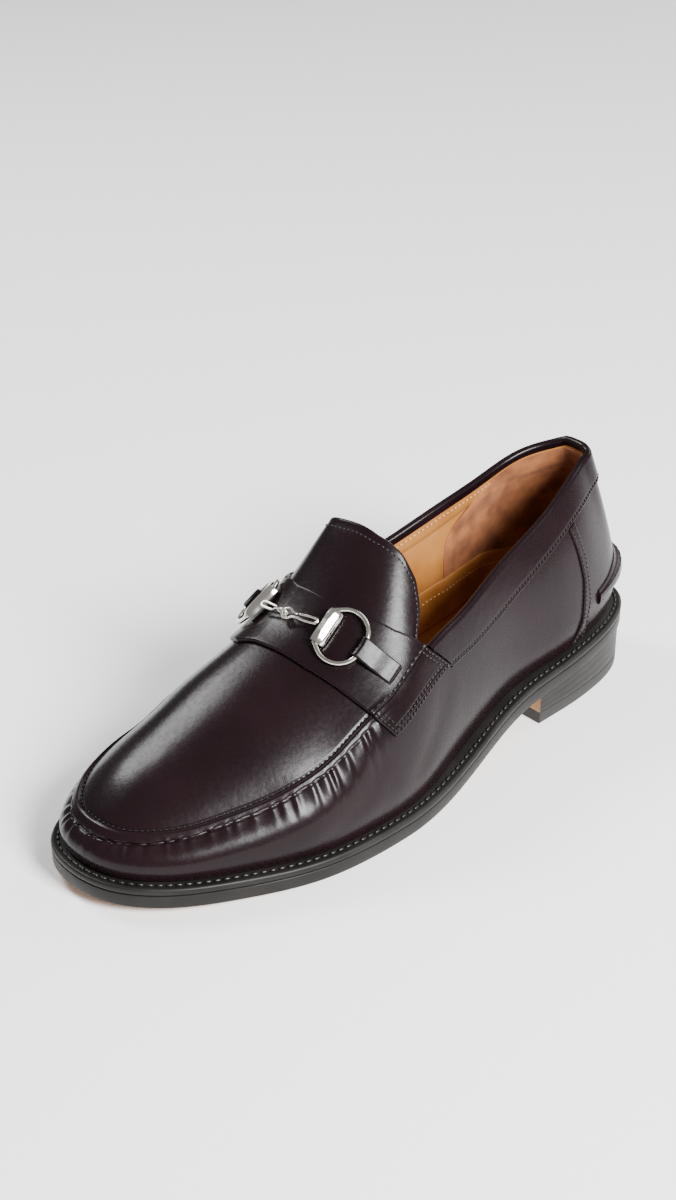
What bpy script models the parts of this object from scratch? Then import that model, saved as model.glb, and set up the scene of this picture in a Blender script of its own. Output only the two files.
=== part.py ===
"""A left bit loafer, built piece by piece as a shoemaker would.

Metres, +Z up, the toe along -Y and the wearer's left (the outer side of the foot) along +X.
The sole stands on z = 0 and the origin is under the middle of the outsole's outline.
"""

import math

import bmesh
import bpy
import numpy as np

# Main sizes
LENGTH = 0.296
# Length of either side of the outline, from the heel's back to the toe's tip
SIDE_LENGTH = 0.34
BALL_WIDTH = 0.106
WAIST_WIDTH = 0.062
HEEL_WIDTH = 0.064
SEAM_GAP = 0.0003

# Sole and heel
OUTSOLE_THICKNESS = 0.0058
WELT_THICKNESS = 0.0031
WELT_REACH_BALL = 0.0046
WELT_REACH_WAIST = 0.0068
WELT_REACH_HEEL = 0.0058
HEEL_LENGTH = 0.0757
HEEL_FRONT_HEIGHT = 0.0140
SEAT_RISE = 0.0078
HEEL_TAPER = 0.0008
TOP_LIFT_THICKNESS = 0.0055
TOE_SPRING = 0.0050
INSOLE_THICKNESS = 0.0055
INSOLE_SPAN = (0.0295, 0.9775)
EDGE_BEVEL = 0.0007

# Upper
WALL = 0.0018
RIM_WALL = 0.0010
TOE_HEIGHT = 0.0150
INSTEP_HEIGHT = 0.0620
COLLAR_HEIGHT = 0.0760
SWELL = 0.0018
LEAN = 0.0100
SPINE_OFFSET = 0.0120
SWELL_HEIGHT = 0.0140
SEAM_RIDGE = 0.0013
RIDGE_WIDTH = 0.0050

# Overlays, tongue and strap
OVERLAY_THICKNESS = 0.0009
STRAP_THICKNESS = 0.0016
STRAP_LIFT = 0.00045
BAND_WIDTH = 0.0140
BAND_LINING_DEPTH = 0.0080
RIM_RISE = 0.0014
TONGUE_CLEARANCE = 0.0020
KICKER_REACH = 0.0038

# Bit
RING_WIRE = 0.0019
RING_LENGTH = 0.0226
RING_WIDTH = 0.0168
CHEEK_LENGTH = 0.0156
CHEEK_WIDTH = 0.0068
CHEEK_HEIGHT = 0.0042
CHEEK_LIFT = 0.0005
LINK_WIRE = 0.0011
LINK_WIDTH = 0.0025
EYE_RADIUS = 0.0023
KEEPER_WIDTH = 0.0092
KEEPER_THICKNESS = 0.0011
# Where the keeper's fold starts under the ring, as an angle from the way down the strap
KEEPER_START = math.radians(250)

# Outline of the outsole. Station is the share of the length from the back of the heel, and each
# side's reach from the centre line is a share of the named width.
OUTLINE = (
    # station, width, lateral, medial
    (0.012, "heel", 0.233, 0.284),
    (0.06, "heel", 0.411, 0.416),
    (0.13, "heel", 0.497, 0.505),
    (0.20, "heel", 0.530, 0.475),
    (0.30, "waist", 0.574, 0.427),
    (0.42, "waist", 0.705, 0.490),
    (0.54, "ball", 0.486, 0.413),
    (0.65, "ball", 0.500, 0.484),
    (0.75, "ball", 0.467, 0.501),
    (0.85, "ball", 0.365, 0.469),
    (0.93, "ball", 0.249, 0.392),
    (0.985, "ball", 0.086, 0.262),
)
HEEL_POINT = -0.028
TOE_POINT = -0.098

# Places along the shoe, as shares of the length from the back of the heel
WAIST_END = 0.585
SPRING_START = 0.635
TOE_PIVOT = 0.875
HEEL_MIDDLE = 0.125

# The wall of the upper, from the feather line at the welt to its shoulder, which is the moccasin seam
# on the vamp and the topline on the quarters. Bulge is how far it swells past the feather, as a share
# of SWELL. Lean is how far the shoulder stands in from the feather, or out past it below zero, as a
# share of LEAN. The shoulder's height is a share of the size named in the row.
WALL_ROWS = (
    # station, size, lateral bulge, lean, height, medial bulge, lean, height
    (0.00, "collar", 1.10, 1.36, 0.975, 1.10, 1.36, 0.975),
    (0.06, "collar", 1.00, 1.48, 0.965, 1.10, 0.86, 0.965),
    (0.13, "collar", 1.15, 1.34, 0.940, 1.40, 0.50, 0.940),
    (0.20, "collar", 1.20, 1.08, 0.870, 2.00, 0.10, 0.900),
    (0.30, "collar", 1.00, 0.85, 0.765, 3.00, -0.45, 0.860),
    (0.40, "collar", 0.85, 0.80, 0.725, 3.60, -0.60, 0.815),
    (0.50, "collar", 0.85, 0.90, 0.730, 2.50, -0.05, 0.785),
    (0.58, "instep", 0.85, 0.80, 0.760, 1.70, 0.40, 0.785),
    (0.63, "instep", 0.90, 0.75, 0.680, 1.45, 0.55, 0.680),
    (0.69, "instep", 1.00, 0.70, 0.540, 1.35, 0.62, 0.560),
    (0.75, "instep", 1.00, 0.68, 0.440, 1.20, 0.66, 0.480),
    (0.80, "instep", 0.90, 0.68, 0.365, 1.00, 0.68, 0.400),
    (0.85, "toe", 0.80, 0.66, 1.270, 0.80, 0.58, 1.480),
    (0.90, "toe", 0.70, 0.63, 1.060, 0.70, 0.50, 1.280),
    (0.94, "toe", 0.60, 0.62, 0.970, 0.60, 0.50, 1.130),
    (1.00, "toe", 0.45, 0.57, 0.900, 0.45, 0.57, 0.900),
)

# The spine is the top line of the vamp and tongue. It lies to the medial side by a share of
# SPINE_OFFSET, and its height over the welt is a share of the instep height. Roundness is the power
# with which the crown falls towards the shoulder.
SPINE_ROWS = (
    # station, offset, height, roundness
    (0.47, 1.36, 1.70, 2.2),
    (0.503, 1.36, 1.58, 2.2),
    (0.55, 1.26, 1.375, 2.1),
    (0.587, 1.20, 1.22, 2.1),
    (0.615, 1.15, 1.12, 2.1),
    (0.67, 1.08, 1.00, 2.1),
    (0.72, 1.08, 0.90, 2.2),
    (0.77, 1.08, 0.79, 2.3),
    (0.82, 1.08, 0.67, 2.3),
    (0.87, 1.08, 0.55, 2.3),
    (0.92, 1.04, 0.45, 2.3),
)


def ease(start, end, value):
    """0 before start, 1 after end, and a smooth step between."""
    share = np.clip((np.asarray(value, float) - start) / (end - start), 0, 1)
    return share * share * (3 - 2 * share)


def spline(knots, values, at):
    """A natural cubic spline through values at the knots. Values may have several columns."""
    knots = np.asarray(knots, float)
    values = np.asarray(values, float)
    at = np.atleast_1d(np.asarray(at, float))
    count = len(knots)
    gaps = np.diff(knots)
    matrix = np.zeros((count, count))
    matrix[0, 0] = matrix[-1, -1] = 1
    right = np.zeros(values.shape)
    slopes = np.diff(values, axis=0) / gaps.reshape((-1,) + (1,) * (values.ndim - 1))
    for row in range(1, count - 1):
        matrix[row, row - 1] = gaps[row - 1]
        matrix[row, row] = 2 * (gaps[row - 1] + gaps[row])
        matrix[row, row + 1] = gaps[row]
        right[row] = 6 * (slopes[row] - slopes[row - 1])
    bends = np.linalg.solve(matrix, right)
    cell = np.clip(np.searchsorted(knots, at, side="right") - 1, 0, count - 2)
    gap = gaps[cell]
    after = (at - knots[cell]) / gap
    before = 1 - after
    shape = (-1,) + (1,) * (values.ndim - 1)
    after, before, gap = after.reshape(shape), before.reshape(shape), gap.reshape(shape)
    return (
        before * values[cell]
        + after * values[cell + 1]
        + ((before**3 - before) * bends[cell] + (after**3 - after) * bends[cell + 1]) * gap**2 / 6
    )


def station_of(y):
    return 0.5 - np.asarray(y) / LENGTH


def y_of(station):
    return LENGTH * (0.5 - np.asarray(station))


def closed_outline(count):
    """The outsole's outline: points from the heel's back, along the lateral side to the toe and back."""
    widths = {"heel": HEEL_WIDTH, "waist": WAIST_WIDTH, "ball": BALL_WIDTH}
    points = [(HEEL_POINT * HEEL_WIDTH, y_of(0))]
    points += [(lateral * widths[width], y_of(station)) for station, width, lateral, _ in OUTLINE]
    points += [(TOE_POINT * BALL_WIDTH, y_of(1))]
    points += [
        (-medial * widths[width], y_of(station)) for station, width, _, medial in reversed(OUTLINE)
    ]
    points = np.array(points)
    # Three laps, so that the middle one is smooth where it closes.
    laps = np.vstack([points, points, points, points[:1]])
    steps = np.sqrt(np.linalg.norm(np.diff(laps, axis=0), axis=1))
    knots = np.r_[0, np.cumsum(steps)]
    first, last = knots[len(points)], knots[2 * len(points)]
    return spline(knots, laps, first + (last - first) * np.arange(count) / count)


OUTLINE_POINTS = closed_outline(1600)


def side_curve(side):
    """One side of the outline from the heel's back to the toe's tip: points, inward normals, arc shares."""
    before = np.roll(OUTLINE_POINTS, 1, axis=0)
    after = np.roll(OUTLINE_POINTS, -1, axis=0)
    tangent = after - before
    tangent /= np.linalg.norm(tangent, axis=1)[:, None]
    normals = np.stack([tangent[:, 1], -tangent[:, 0]], -1)
    start = int(OUTLINE_POINTS[:, 1].argmax())
    points = np.roll(OUTLINE_POINTS, -start, axis=0)
    normals = np.roll(normals, -start, axis=0)
    tip = int(points[:, 1].argmin())
    order = np.arange(tip + 1) if side > 0 else np.r_[0, np.arange(len(points) - 1, tip - 1, -1)]
    points, normals = points[order], normals[order]
    arc = np.r_[0, np.cumsum(np.linalg.norm(np.diff(points, axis=0), axis=1))]
    return points, normals, arc / arc[-1]


SIDES = {1: side_curve(1), -1: side_curve(-1)}


def outline_at(side, share):
    """Point, inward normal and station of the outline at an arc share of one side."""
    points, normals, arc = SIDES[side]
    here = np.stack([np.interp(share, arc, points[:, k]) for k in (0, 1)], -1)
    normal = np.stack([np.interp(share, arc, normals[:, k]) for k in (0, 1)], -1)
    return here, normal / np.linalg.norm(normal, axis=-1, keepdims=True), station_of(here[..., 1])


def sole_bottom(station):
    """Height of the outsole's underside: heel seat, arch, flat ball and toe spring."""
    station = np.asarray(station, float)
    breast = HEEL_LENGTH / LENGTH
    slope = SEAT_RISE / breast
    seat = HEEL_FRONT_HEIGHT + slope * (breast - station)
    span = WAIST_END - breast
    share = np.clip((station - breast) / span, 0, 1)
    arch = HEEL_FRONT_HEIGHT * (2 * share**3 - 3 * share**2 + 1)
    arch -= slope * span * (share**3 - 2 * share**2 + share)
    spring = np.clip((station - SPRING_START) / (1 - SPRING_START), 0, None)
    return np.where(station < breast, seat, arch) + TOE_SPRING * spring**2


def sole_top(station):
    """Height of the welt's upper face."""
    return sole_bottom(station) + OUTSOLE_THICKNESS + SEAM_GAP + WELT_THICKNESS


def welt_reach(station):
    waist = 1 - ease(0.42, 0.60, station)
    heel = 1 - ease(0.12, 0.32, station)
    reach = WELT_REACH_BALL + (WELT_REACH_WAIST - WELT_REACH_BALL) * waist
    return reach + (WELT_REACH_HEEL - WELT_REACH_WAIST) * heel


# Extra lean of the rim where it turns round the back on the lateral side: amount, and the arc share
# of its place and reach
RIM_TURN_LEAN = 0.0008
RIM_TURN_PLACE = 0.042
RIM_TURN_REACH = 0.020

SIZES = {"toe": TOE_HEIGHT, "instep": INSTEP_HEIGHT, "collar": COLLAR_HEIGHT}
WALL_TABLE = np.array(
    [
        (station, bulge * SWELL, lean * LEAN, height * SIZES[size])
        + (medial_bulge * SWELL, medial_lean * LEAN, medial_height * SIZES[size])
        for station, size, bulge, lean, height, medial_bulge, medial_lean, medial_height in WALL_ROWS
    ]
)
SPINE_TABLE = np.array(
    [
        (station, -offset * SPINE_OFFSET, height * INSTEP_HEIGHT, roundness)
        for station, offset, height, roundness in SPINE_ROWS
    ]
)


def wall_values(side, station):
    """Bulge, lean and shoulder height of the wall on one side at a station."""
    # The table is mirrored past both ends, which keeps the toe and the heel's back smooth.
    table = WALL_TABLE
    knots = np.r_[-table[3:0:-1, 0], table[:, 0], 2 - table[-2:-5:-1, 0]]
    rows = np.vstack([table[3:0:-1], table, table[-2:-5:-1]])
    return spline(knots, rows[:, 1:4] if side > 0 else rows[:, 4:7], [station])[0]


def spine_at(station):
    """Point of the spine, the slope of its height along Y, and the roundness."""
    station = np.clip(station, SPINE_TABLE[0, 0], SPINE_TABLE[-1, 0])
    x, height, power = spline(SPINE_TABLE[:, 0], SPINE_TABLE[:, 1:], station).T
    step = 0.004
    rise = spline(SPINE_TABLE[:, 0], SPINE_TABLE[:, 2], station + step)
    rise = rise - spline(SPINE_TABLE[:, 0], SPINE_TABLE[:, 2], station - step)
    slope = rise / (-2 * step * LENGTH)
    slope += (sole_top(station + step) - sole_top(station - step)) / (-2 * step * LENGTH)
    return x, sole_top(station) + height, slope, power


def spine_station(share):
    """Station of the spine point that a section at an arc share ends on."""
    lateral = outline_at(1, share)[2]
    medial = outline_at(-1, share)[2]
    mean = (lateral + medial) / 2
    # Ahead of the toe's pivot the sections fan out from almost one point.
    soft = 0.02
    return mean - soft * np.log1p(np.exp((mean - TOE_PIVOT) / soft))


def lean_direction(base, normal, station):
    """The way in which a wall leans: the outline's normal, and at the back towards the heel's middle."""
    toward = np.array([HEEL_POINT * HEEL_WIDTH, y_of(HEEL_MIDDLE)]) - base
    toward /= np.linalg.norm(toward)
    back = float(1 - ease(0.03, 0.13, station))
    direction = normal * (1 - back) + toward * back
    return direction / np.linalg.norm(direction)


def section(side, share):
    """The outer face of the upper at one arc share: a dense line from feather to spine.

    Returns the points, their arc lengths and the arc length at which the shoulder lies.
    """
    base, normal, station = outline_at(side, np.array([share]))
    base, normal, station = base[0], normal[0], float(station[0])
    bulge, lean, height = wall_values(side, station)
    if side > 0:
        lean = lean + RIM_TURN_LEAN * math.exp(-(((share - RIM_TURN_PLACE) / RIM_TURN_REACH) ** 2))
    reach = float(welt_reach(station))
    top = float(sole_top(station)) + SEAM_GAP
    swell = min(SWELL_HEIGHT, 0.45 * height)
    # The share of the lean that is reached half way up: more at the back, where the counter curves in
    middle = 0.30 + 0.13 * float(1 - ease(0.04, 0.16, station))
    wall = (
        (0, 0),
        (-0.8 * bulge, 0.5 * swell),
        (-bulge, swell),
        (-bulge + middle * (lean + bulge), swell + 0.52 * (height - swell)),
        (lean, height),
    )
    lean_way = lean_direction(base, normal, station)
    foot = base + normal * reach
    points = [np.array([*(foot + lean_way * inset), top + up]) for inset, up in wall]
    shoulder = points[-1]
    spine_share = float(spine_station(np.array([share]))[0])
    x, z, slope, power = (float(value[0]) for value in spine_at(np.array([spine_share])))
    spine = np.array([x, y_of(spine_share), z])
    # The tangent plane at the spine, with the height falling away from it.
    drop = spine[2] + slope * (shoulder[1] - spine[1]) - shoulder[2]
    for share_out in (0.86, 0.68, 0.45, 0.22, 0.0):
        plan = spine[:2] + (shoulder[:2] - spine[:2]) * share_out
        level = spine[2] + slope * (plan[1] - spine[1]) - drop * share_out**power
        points.append(np.array([*plan, level]))
    points = np.array(points)
    knots = np.r_[0, np.cumsum(np.linalg.norm(np.diff(points, axis=0), axis=1) ** 0.7)]
    turn = len(wall) - 1
    low = np.linspace(0, knots[turn], 81)
    high = np.linspace(knots[turn], knots[-1], 81)[1:]
    # On the vamp the wall rolls into the crown. On the quarters it runs straight up to its free rim.
    rolled = spline(knots, points, low)
    free = spline(knots[: turn + 1], points[: turn + 1], low)
    vamp = float(ease(0.50, 0.60, station))
    line = np.vstack([rolled * vamp + free * (1 - vamp), spline(knots, points, high)])
    arc = np.r_[0, np.cumsum(np.linalg.norm(np.diff(line, axis=0), axis=1))]
    return line, arc, arc[len(low) - 1]


def ridge_height(past_shoulder, station):
    """The raised moccasin seam: a rounded ridge just above the shoulder line, on the vamp only."""
    across = np.clip((past_shoulder - 0.4 * RIDGE_WIDTH) / (0.7 * RIDGE_WIDTH), -1, 1)
    return SEAM_RIDGE * np.cos(across * math.pi / 2) ** 2 * ease(0.56, 0.63, station)


# The skin is the upper's outer face as one grid. Its rows run round the shoe from the toe's tip along
# the medial side to the heel, at -1 to 0, and along the lateral side back to the tip, at 0 to 1. Its
# columns run up from the feather at 0, over the shoulder at 1, to the spine at 2.
SHOULDER = 1.0
SPINE = 2.0
SKIN_ROWS = np.linspace(-1, 1, 481)
SKIN_STEPS = 40


def build_skin():
    """Points, outward normals and arc lengths past the shoulder over the whole grid."""
    rows = []
    past = []
    for round_share in SKIN_ROWS:
        line, arc, turn = section(1 if round_share >= 0 else -1, abs(round_share))
        low = np.linspace(0, turn, SKIN_STEPS + 1)
        high = np.linspace(turn, arc[-1], SKIN_STEPS + 1)[1:]
        lengths = np.r_[low, high]
        rows.append(np.stack([np.interp(lengths, arc, line[:, k]) for k in range(3)], -1))
        past.append(lengths - turn)
    grid, past = np.array(rows), np.array(past)
    ridge = ridge_height(past, station_of(grid[:, :1, 1]))
    grid = grid + grid_normals(grid) * ridge[..., None]
    return grid, grid_normals(grid), past


def grid_normals(grid):
    """Outward unit normals of the skin's grid, which closes on itself at the toe's tip."""
    ringed = np.concatenate([grid[-2:-1], grid, grid[1:2]])
    along = np.gradient(ringed, axis=0)[1:-1]
    up = np.gradient(grid, axis=1)
    # Near the spine the sections of the toe meet in one point, so the last columns share a direction.
    along[:, -1] = along[:, -2]
    normal = np.cross(up, along)
    normal /= np.linalg.norm(normal, axis=-1, keepdims=True)
    slope = spine_at(station_of(grid[:, -1, 1]))[2]
    normal[:, -1] = np.stack([0 * slope, -slope, 0 * slope + 1], -1)
    normal[:, -1] /= np.linalg.norm(normal[:, -1], axis=-1, keepdims=True)
    return normal


SKIN, SKIN_NORMALS, SKIN_PAST = build_skin()


def look_up(table, round_share, up):
    """Bilinear value of a table over the skin's grid."""
    round_share, up = np.broadcast_arrays(np.asarray(round_share, float), np.asarray(up, float))
    row = (np.clip(round_share, -1, 1) + 1) / 2 * (len(SKIN_ROWS) - 1)
    column = np.clip(up, 0, SPINE) * SKIN_STEPS
    row0 = np.minimum(row.astype(int), len(SKIN_ROWS) - 2)
    column0 = np.minimum(column.astype(int), 2 * SKIN_STEPS - 1)
    r, c = row - row0, column - column0
    if table.ndim == 3:
        r, c = r[..., None], c[..., None]
    near = table[row0, column0] * (1 - c) + table[row0, column0 + 1] * c
    far = table[row0 + 1, column0] * (1 - c) + table[row0 + 1, column0 + 1] * c
    return near * (1 - r) + far * r


def skin(round_share, up, lift=0.0):
    """Points of the skin, or points lifted off it along its outward normals."""
    points = look_up(SKIN, round_share, up)
    normals = look_up(SKIN_NORMALS, round_share, up)
    normals /= np.linalg.norm(normals, axis=-1, keepdims=True)
    return points + normals * np.asarray(lift)[..., None]


def up_at(round_share, length):
    """The skin's up coordinate at an arc length past the shoulder, or before it below zero."""
    length = np.asarray(length, float)
    wall = -look_up(SKIN_PAST, round_share, 0.0)
    crown = look_up(SKIN_PAST, round_share, SPINE)
    return SHOULDER + np.where(length < 0, length / wall, length / crown)


# Lines on the skin, as up coordinates with the round share of each. Lateral is side 1.
THROAT = 0.575
STRAP_FRONT = {
    1: ((0.78, 0.570), (1.04, 0.590), (1.28, 0.605), (1.60, 0.624), (2.00, 0.640)),
    -1: ((0.66, 0.558), (0.92, 0.580), (1.25, 0.613), (1.60, 0.642), (1.80, 0.648), (2.00, 0.640)),
}
STRAP_REAR = {
    1: ((0.78, 0.448), (1.04, 0.480), (1.28, 0.514), (1.48, 0.535), (1.70, 0.554), (2.00, 0.562)),
    -1: ((0.66, 0.432), (0.92, 0.462), (1.24, 0.508), (1.48, 0.535), (1.70, 0.554), (2.00, 0.562)),
}
STRAP_FOOT = {1: 1.04, -1: 0.92}
WING_FOOT = {1: 0.78, -1: 0.66}
TONGUE_END = {
    1: (
        (1.03, 0.500),
        (1.12, 0.484),
        (1.22, 0.466),
        (1.36, 0.457),
        (1.51, 0.461),
        (1.72, 0.478),
        (2.00, 0.493),
    ),
    -1: (
        (1.03, 0.500),
        (1.12, 0.484),
        (1.22, 0.466),
        (1.36, 0.457),
        (1.51, 0.463),
        (1.70, 0.480),
        (1.80, 0.4873),
        (1.90, 0.4919),
        (2.00, 0.493),
    ),
}
STRIP_FRONT = ((0.03, 0.203), (0.18, 0.188), (0.42, 0.182), (0.63, 0.188), (0.80, 0.195))
STRIP_REAR = ((0.03, 0.182), (0.15, 0.177), (0.28, 0.170), (0.56, 0.173), (0.80, 0.182))
BAND_END = 0.460
BAND_SWELL = 0.20
BAND_SWELL_PLACE = 0.32
BAND_SWELL_REACH = 0.08
WING_GAP = 0.010
KICKER_END = 0.148
KICKER_BACK = (0.10, 0.37)
KICKER_TIP = (0.17, 0.27)
# Places on the strap: an up coordinate and a share of the strap's width from its rear edge
CHEEK_PLACE = {1: (1.635, 0.37), -1: (1.75, 0.42)}
RING_PLACE = {1: (1.36, 0.43), -1: (1.47, 0.47)}
SLOT_PLACE = {1: (1.10, 0.49), -1: (1.15, 0.51)}
EYE_PLACE = (1.92, 0.45)


def line_at(line, up):
    """Round share of one of the lines above at an up coordinate."""
    ups, shares = np.array(line).T
    return np.interp(up, ups, shares)


def share_gap(length):
    """A length along the shoe as a round share."""
    return length / SIDE_LENGTH


def wall_at(round_share, up):
    """Thickness of the upper, which is skived towards the free rim of the quarters."""
    quarter = 1 - ease(THROAT - 0.02, THROAT, np.abs(round_share))
    return WALL - (WALL - RIM_WALL) * quarter * ease(0.80, 1.0, up)


# Blender objects


def material(name, colour, roughness, metallic=0.0):
    made = bpy.data.materials.new(name)
    made.use_nodes = True
    shader = made.node_tree.nodes["Principled BSDF"]
    shader.inputs["Base Color"].default_value = (*colour, 1)
    shader.inputs["Roughness"].default_value = roughness
    shader.inputs["Metallic"].default_value = metallic
    return made


def add_object(name, points, faces, paint):
    """One closed body from its points and faces, shaded smooth between its sharp edges."""
    used = sorted({index for face in faces for index in face})
    number = {index: place for place, index in enumerate(used)}
    mesh = bpy.data.meshes.new(name)
    corners = [tuple(map(float, points[index])) for index in used]
    mesh.from_pydata(corners, [], [[number[index] for index in face] for face in faces])
    mesh.validate()
    mesh.shade_smooth()
    mesh.set_sharp_from_angle(angle=math.radians(38))
    mesh.materials.append(paint)
    made = bpy.data.objects.new(name, mesh)
    bpy.context.scene.collection.objects.link(made)
    return made


def grid_cells(rows, columns, ids=None, around=False):
    """Cells of a grid of vertices, whose rows run along the shoe and whose columns run up the skin."""
    if ids is None:
        ids = np.arange(rows * columns).reshape(rows, columns)
    cells = []
    for row in range(rows if around else rows - 1):
        after = (row + 1) % rows
        for column in range(columns - 1):
            corners = ids[[row, row, after, after], [column, column + 1, column + 1, column]]
            cells.append(tuple(map(int, corners)))
    return cells


def add_sheet(name, outer, inner, paint, cells=None):
    """A closed sheet between two grids of points, joined along every free edge of its cells."""
    if cells is None:
        cells = grid_cells(*outer.shape[:2])
    outer, inner = outer.reshape(-1, 3), inner.reshape(-1, 3)
    count = len(outer)
    edges = {(cell[k], cell[(k + 1) % 4]) for cell in cells for k in range(4)}
    faces = list(cells)
    faces += [tuple(index + count for index in reversed(cell)) for cell in cells]
    for start, end in sorted(edges):
        if (end, start) not in edges:
            faces.append((end, start, start + count, end + count))
    return add_object(name, np.vstack([outer, inner]), faces, paint)


def add_tube(name, path, radius, sides, paint):
    """A round wire along a path of points, with flat ends."""
    path = np.asarray(path)
    tangents = np.gradient(path, axis=0)
    tangents /= np.linalg.norm(tangents, axis=1)[:, None]
    side = np.cross(tangents[0], [0.3, 0.5, 0.8])
    rings = []
    for point, tangent in zip(path, tangents):
        side = side - tangent * np.dot(side, tangent)
        side /= np.linalg.norm(side)
        other = np.cross(tangent, side)
        turn = np.arange(sides) * 2 * math.pi / sides
        rings.append(point + radius * (np.outer(np.cos(turn), side) + np.outer(np.sin(turn), other)))
    faces = []
    for ring in range(len(rings) - 1):
        for k in range(sides):
            after = (k + 1) % sides
            near, far = ring * sides, (ring + 1) * sides
            faces.append((near + k, near + after, far + after, far + k))
    faces.append(tuple(reversed(range(sides))))
    faces.append(tuple(range((len(rings) - 1) * sides, len(rings) * sides)))
    return add_object(name, np.vstack(rings), faces, paint)


def smooth_path(points, count):
    """Evenly spaced points along a smooth curve through the given ones."""
    points = np.asarray(points, float)
    knots = np.r_[0, np.cumsum(np.linalg.norm(np.diff(points, axis=0), axis=1) ** 0.6)]
    dense = spline(knots, points, np.linspace(0, knots[-1], 400))
    arc = np.r_[0, np.cumsum(np.linalg.norm(np.diff(dense, axis=0), axis=1))]
    even = np.linspace(0, arc[-1], count)
    return np.stack([np.interp(even, arc, dense[:, k]) for k in range(3)], -1)


# Sole


def inset_outline(inset, count):
    """The outline moved inward by an inset, which is a length or a function of station."""
    found = []
    steps = np.arange(count) / count
    for side, shares in ((1, steps), (-1, 1 - steps)):
        points, normal, station = outline_at(side, shares)
        amount = inset(station) if callable(inset) else np.full(len(shares), inset)
        found.append(points + normal * amount[:, None])
    return np.vstack(found)


def cross_rows(inset, stations):
    """Where an inset outline meets lines across the shoe: y, medial x and lateral x of each station."""
    ring = inset_outline(inset, 400)
    count = len(ring) // 2
    lateral = ring[: count + 1]
    medial = np.vstack([ring[count:], ring[:1]])[::-1]
    back = max(lateral[:, 1].max(), medial[:, 1].max())
    front = min(lateral[:, 1].min(), medial[:, 1].min())
    rows = []
    for y in y_of(stations):
        y = float(np.clip(y, front, back))
        x_lateral = np.interp(-y, -lateral[:, 1], lateral[:, 0])
        x_medial = np.interp(-y, -medial[:, 1], medial[:, 0])
        rows.append((y, x_medial, x_lateral))
    return np.array(rows)


def round_stations(first, last, count):
    """Stations that crowd towards both ends, where the outline is round."""
    turn = np.linspace(0, math.pi, count)
    return first + (last - first) * (1 - np.cos(turn)) / 2


def add_slab(name, inset, stations, bottom, top, paint, bevel=0.0):
    """A slab of the outline: its faces follow the heights bottom and top of each station.

    The edge of its underside is bevelled by the length bevel.
    """
    levels = [(inset, top)]
    if bevel:
        levels.append((inset, lambda station: bottom(station) + bevel))
        levels.append((lambda station: inset(station) + bevel, bottom))
    else:
        levels.append((inset, bottom))
    points = []
    for level_inset, height in levels:
        rows = cross_rows(level_inset, stations)
        # Lines across the same stations keep every level's rows one above the other.
        z = height(station_of(rows[:, 0]))
        points.append(np.stack([rows[:, 2], rows[:, 0], z], -1))
        points.append(np.stack([rows[:, 1], rows[:, 0], z], -1))
    count = len(stations)
    # Lines of points from level to level: down the lateral edge, below, and up the medial edge
    lines = [2 * level for level in range(len(levels))]
    lines += [line + 1 for line in reversed(lines)]
    faces = []
    for row in range(count - 1):
        for line, after in zip(lines, lines[1:] + lines[:1]):
            near, far = line * count + row, after * count + row
            faces.append((near, near + 1, far + 1, far))
    # The two ends, strip by strip between neighbouring levels
    for high in range(0, 2 * (len(levels) - 1), 2):
        low = high + 2
        for row, first, second in ((0, 1, 0), (count - 1, 0, 1)):
            ends = (high + first, high + second, low + second, low + first)
            faces.append(tuple(line * count + row for line in ends))
    return add_object(name, np.vstack(points), faces, paint)


def edge_of(station):
    """The plain outline."""
    return 0 * np.asarray(station)


def feather_of(station):
    """Inset of the upper's inner face at the welt."""
    return welt_reach(station) + WALL


def outsole_top(station):
    return sole_bottom(station) + OUTSOLE_THICKNESS


def build_sole(leather, edge, rubber, lining):
    """Outsole, welt, insole, heel stack and top lift."""
    flats = np.array([WAIST_END, SPRING_START, HEEL_LENGTH / LENGTH])
    stations = np.unique(np.r_[round_stations(0.0006, 0.9994, 42), flats])
    add_slab("outsole", edge_of, stations, sole_bottom, outsole_top, edge, EDGE_BEVEL)

    count = 40
    rings = []
    for inset, height in (
        (edge_of, WELT_THICKNESS + SEAM_GAP),
        (feather_of, WELT_THICKNESS + SEAM_GAP),
        (feather_of, SEAM_GAP),
        (edge_of, SEAM_GAP),
    ):
        ring = inset_outline(inset, count)
        station = station_of(ring[:, 1])
        rings.append(np.column_stack([ring, outsole_top(station) + height]))
    corners = np.stack(rings, 1)
    faces = []
    for row in range(2 * count):
        after = (row + 1) % (2 * count)
        for column in range(4):
            side = (column + 1) % 4
            faces.append((row * 4 + column, row * 4 + side, after * 4 + side, after * 4 + column))
    add_object("welt", corners.reshape(-1, 3), faces, edge)

    def sock_inset(station):
        return feather_of(station) + SEAM_GAP

    def sock_bottom(station):
        return outsole_top(station) + SEAM_GAP

    def sock_top(station):
        return outsole_top(station) + SEAM_GAP + INSOLE_THICKNESS

    stations = round_stations(*INSOLE_SPAN, 36)
    add_slab("insole", sock_inset, stations, sock_bottom, sock_top, lining)

    def heel_inset(station):
        return 0 * station + HEEL_TAPER

    breast = HEEL_LENGTH / LENGTH
    rear = 0.0006 + HEEL_TAPER / LENGTH
    stations = round_stations(rear, breast, 18)

    def stack_bottom(station):
        return 0 * station + TOP_LIFT_THICKNESS + SEAM_GAP

    def stack_top(station):
        return sole_bottom(station) - SEAM_GAP

    def floor(station):
        return 0 * station

    def lift_top(station):
        return 0 * station + TOP_LIFT_THICKNESS

    add_slab("heel_stack", heel_inset, stations, stack_bottom, stack_top, leather)
    add_slab("top_lift", heel_inset, stations, floor, lift_top, rubber)


# Upper


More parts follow.
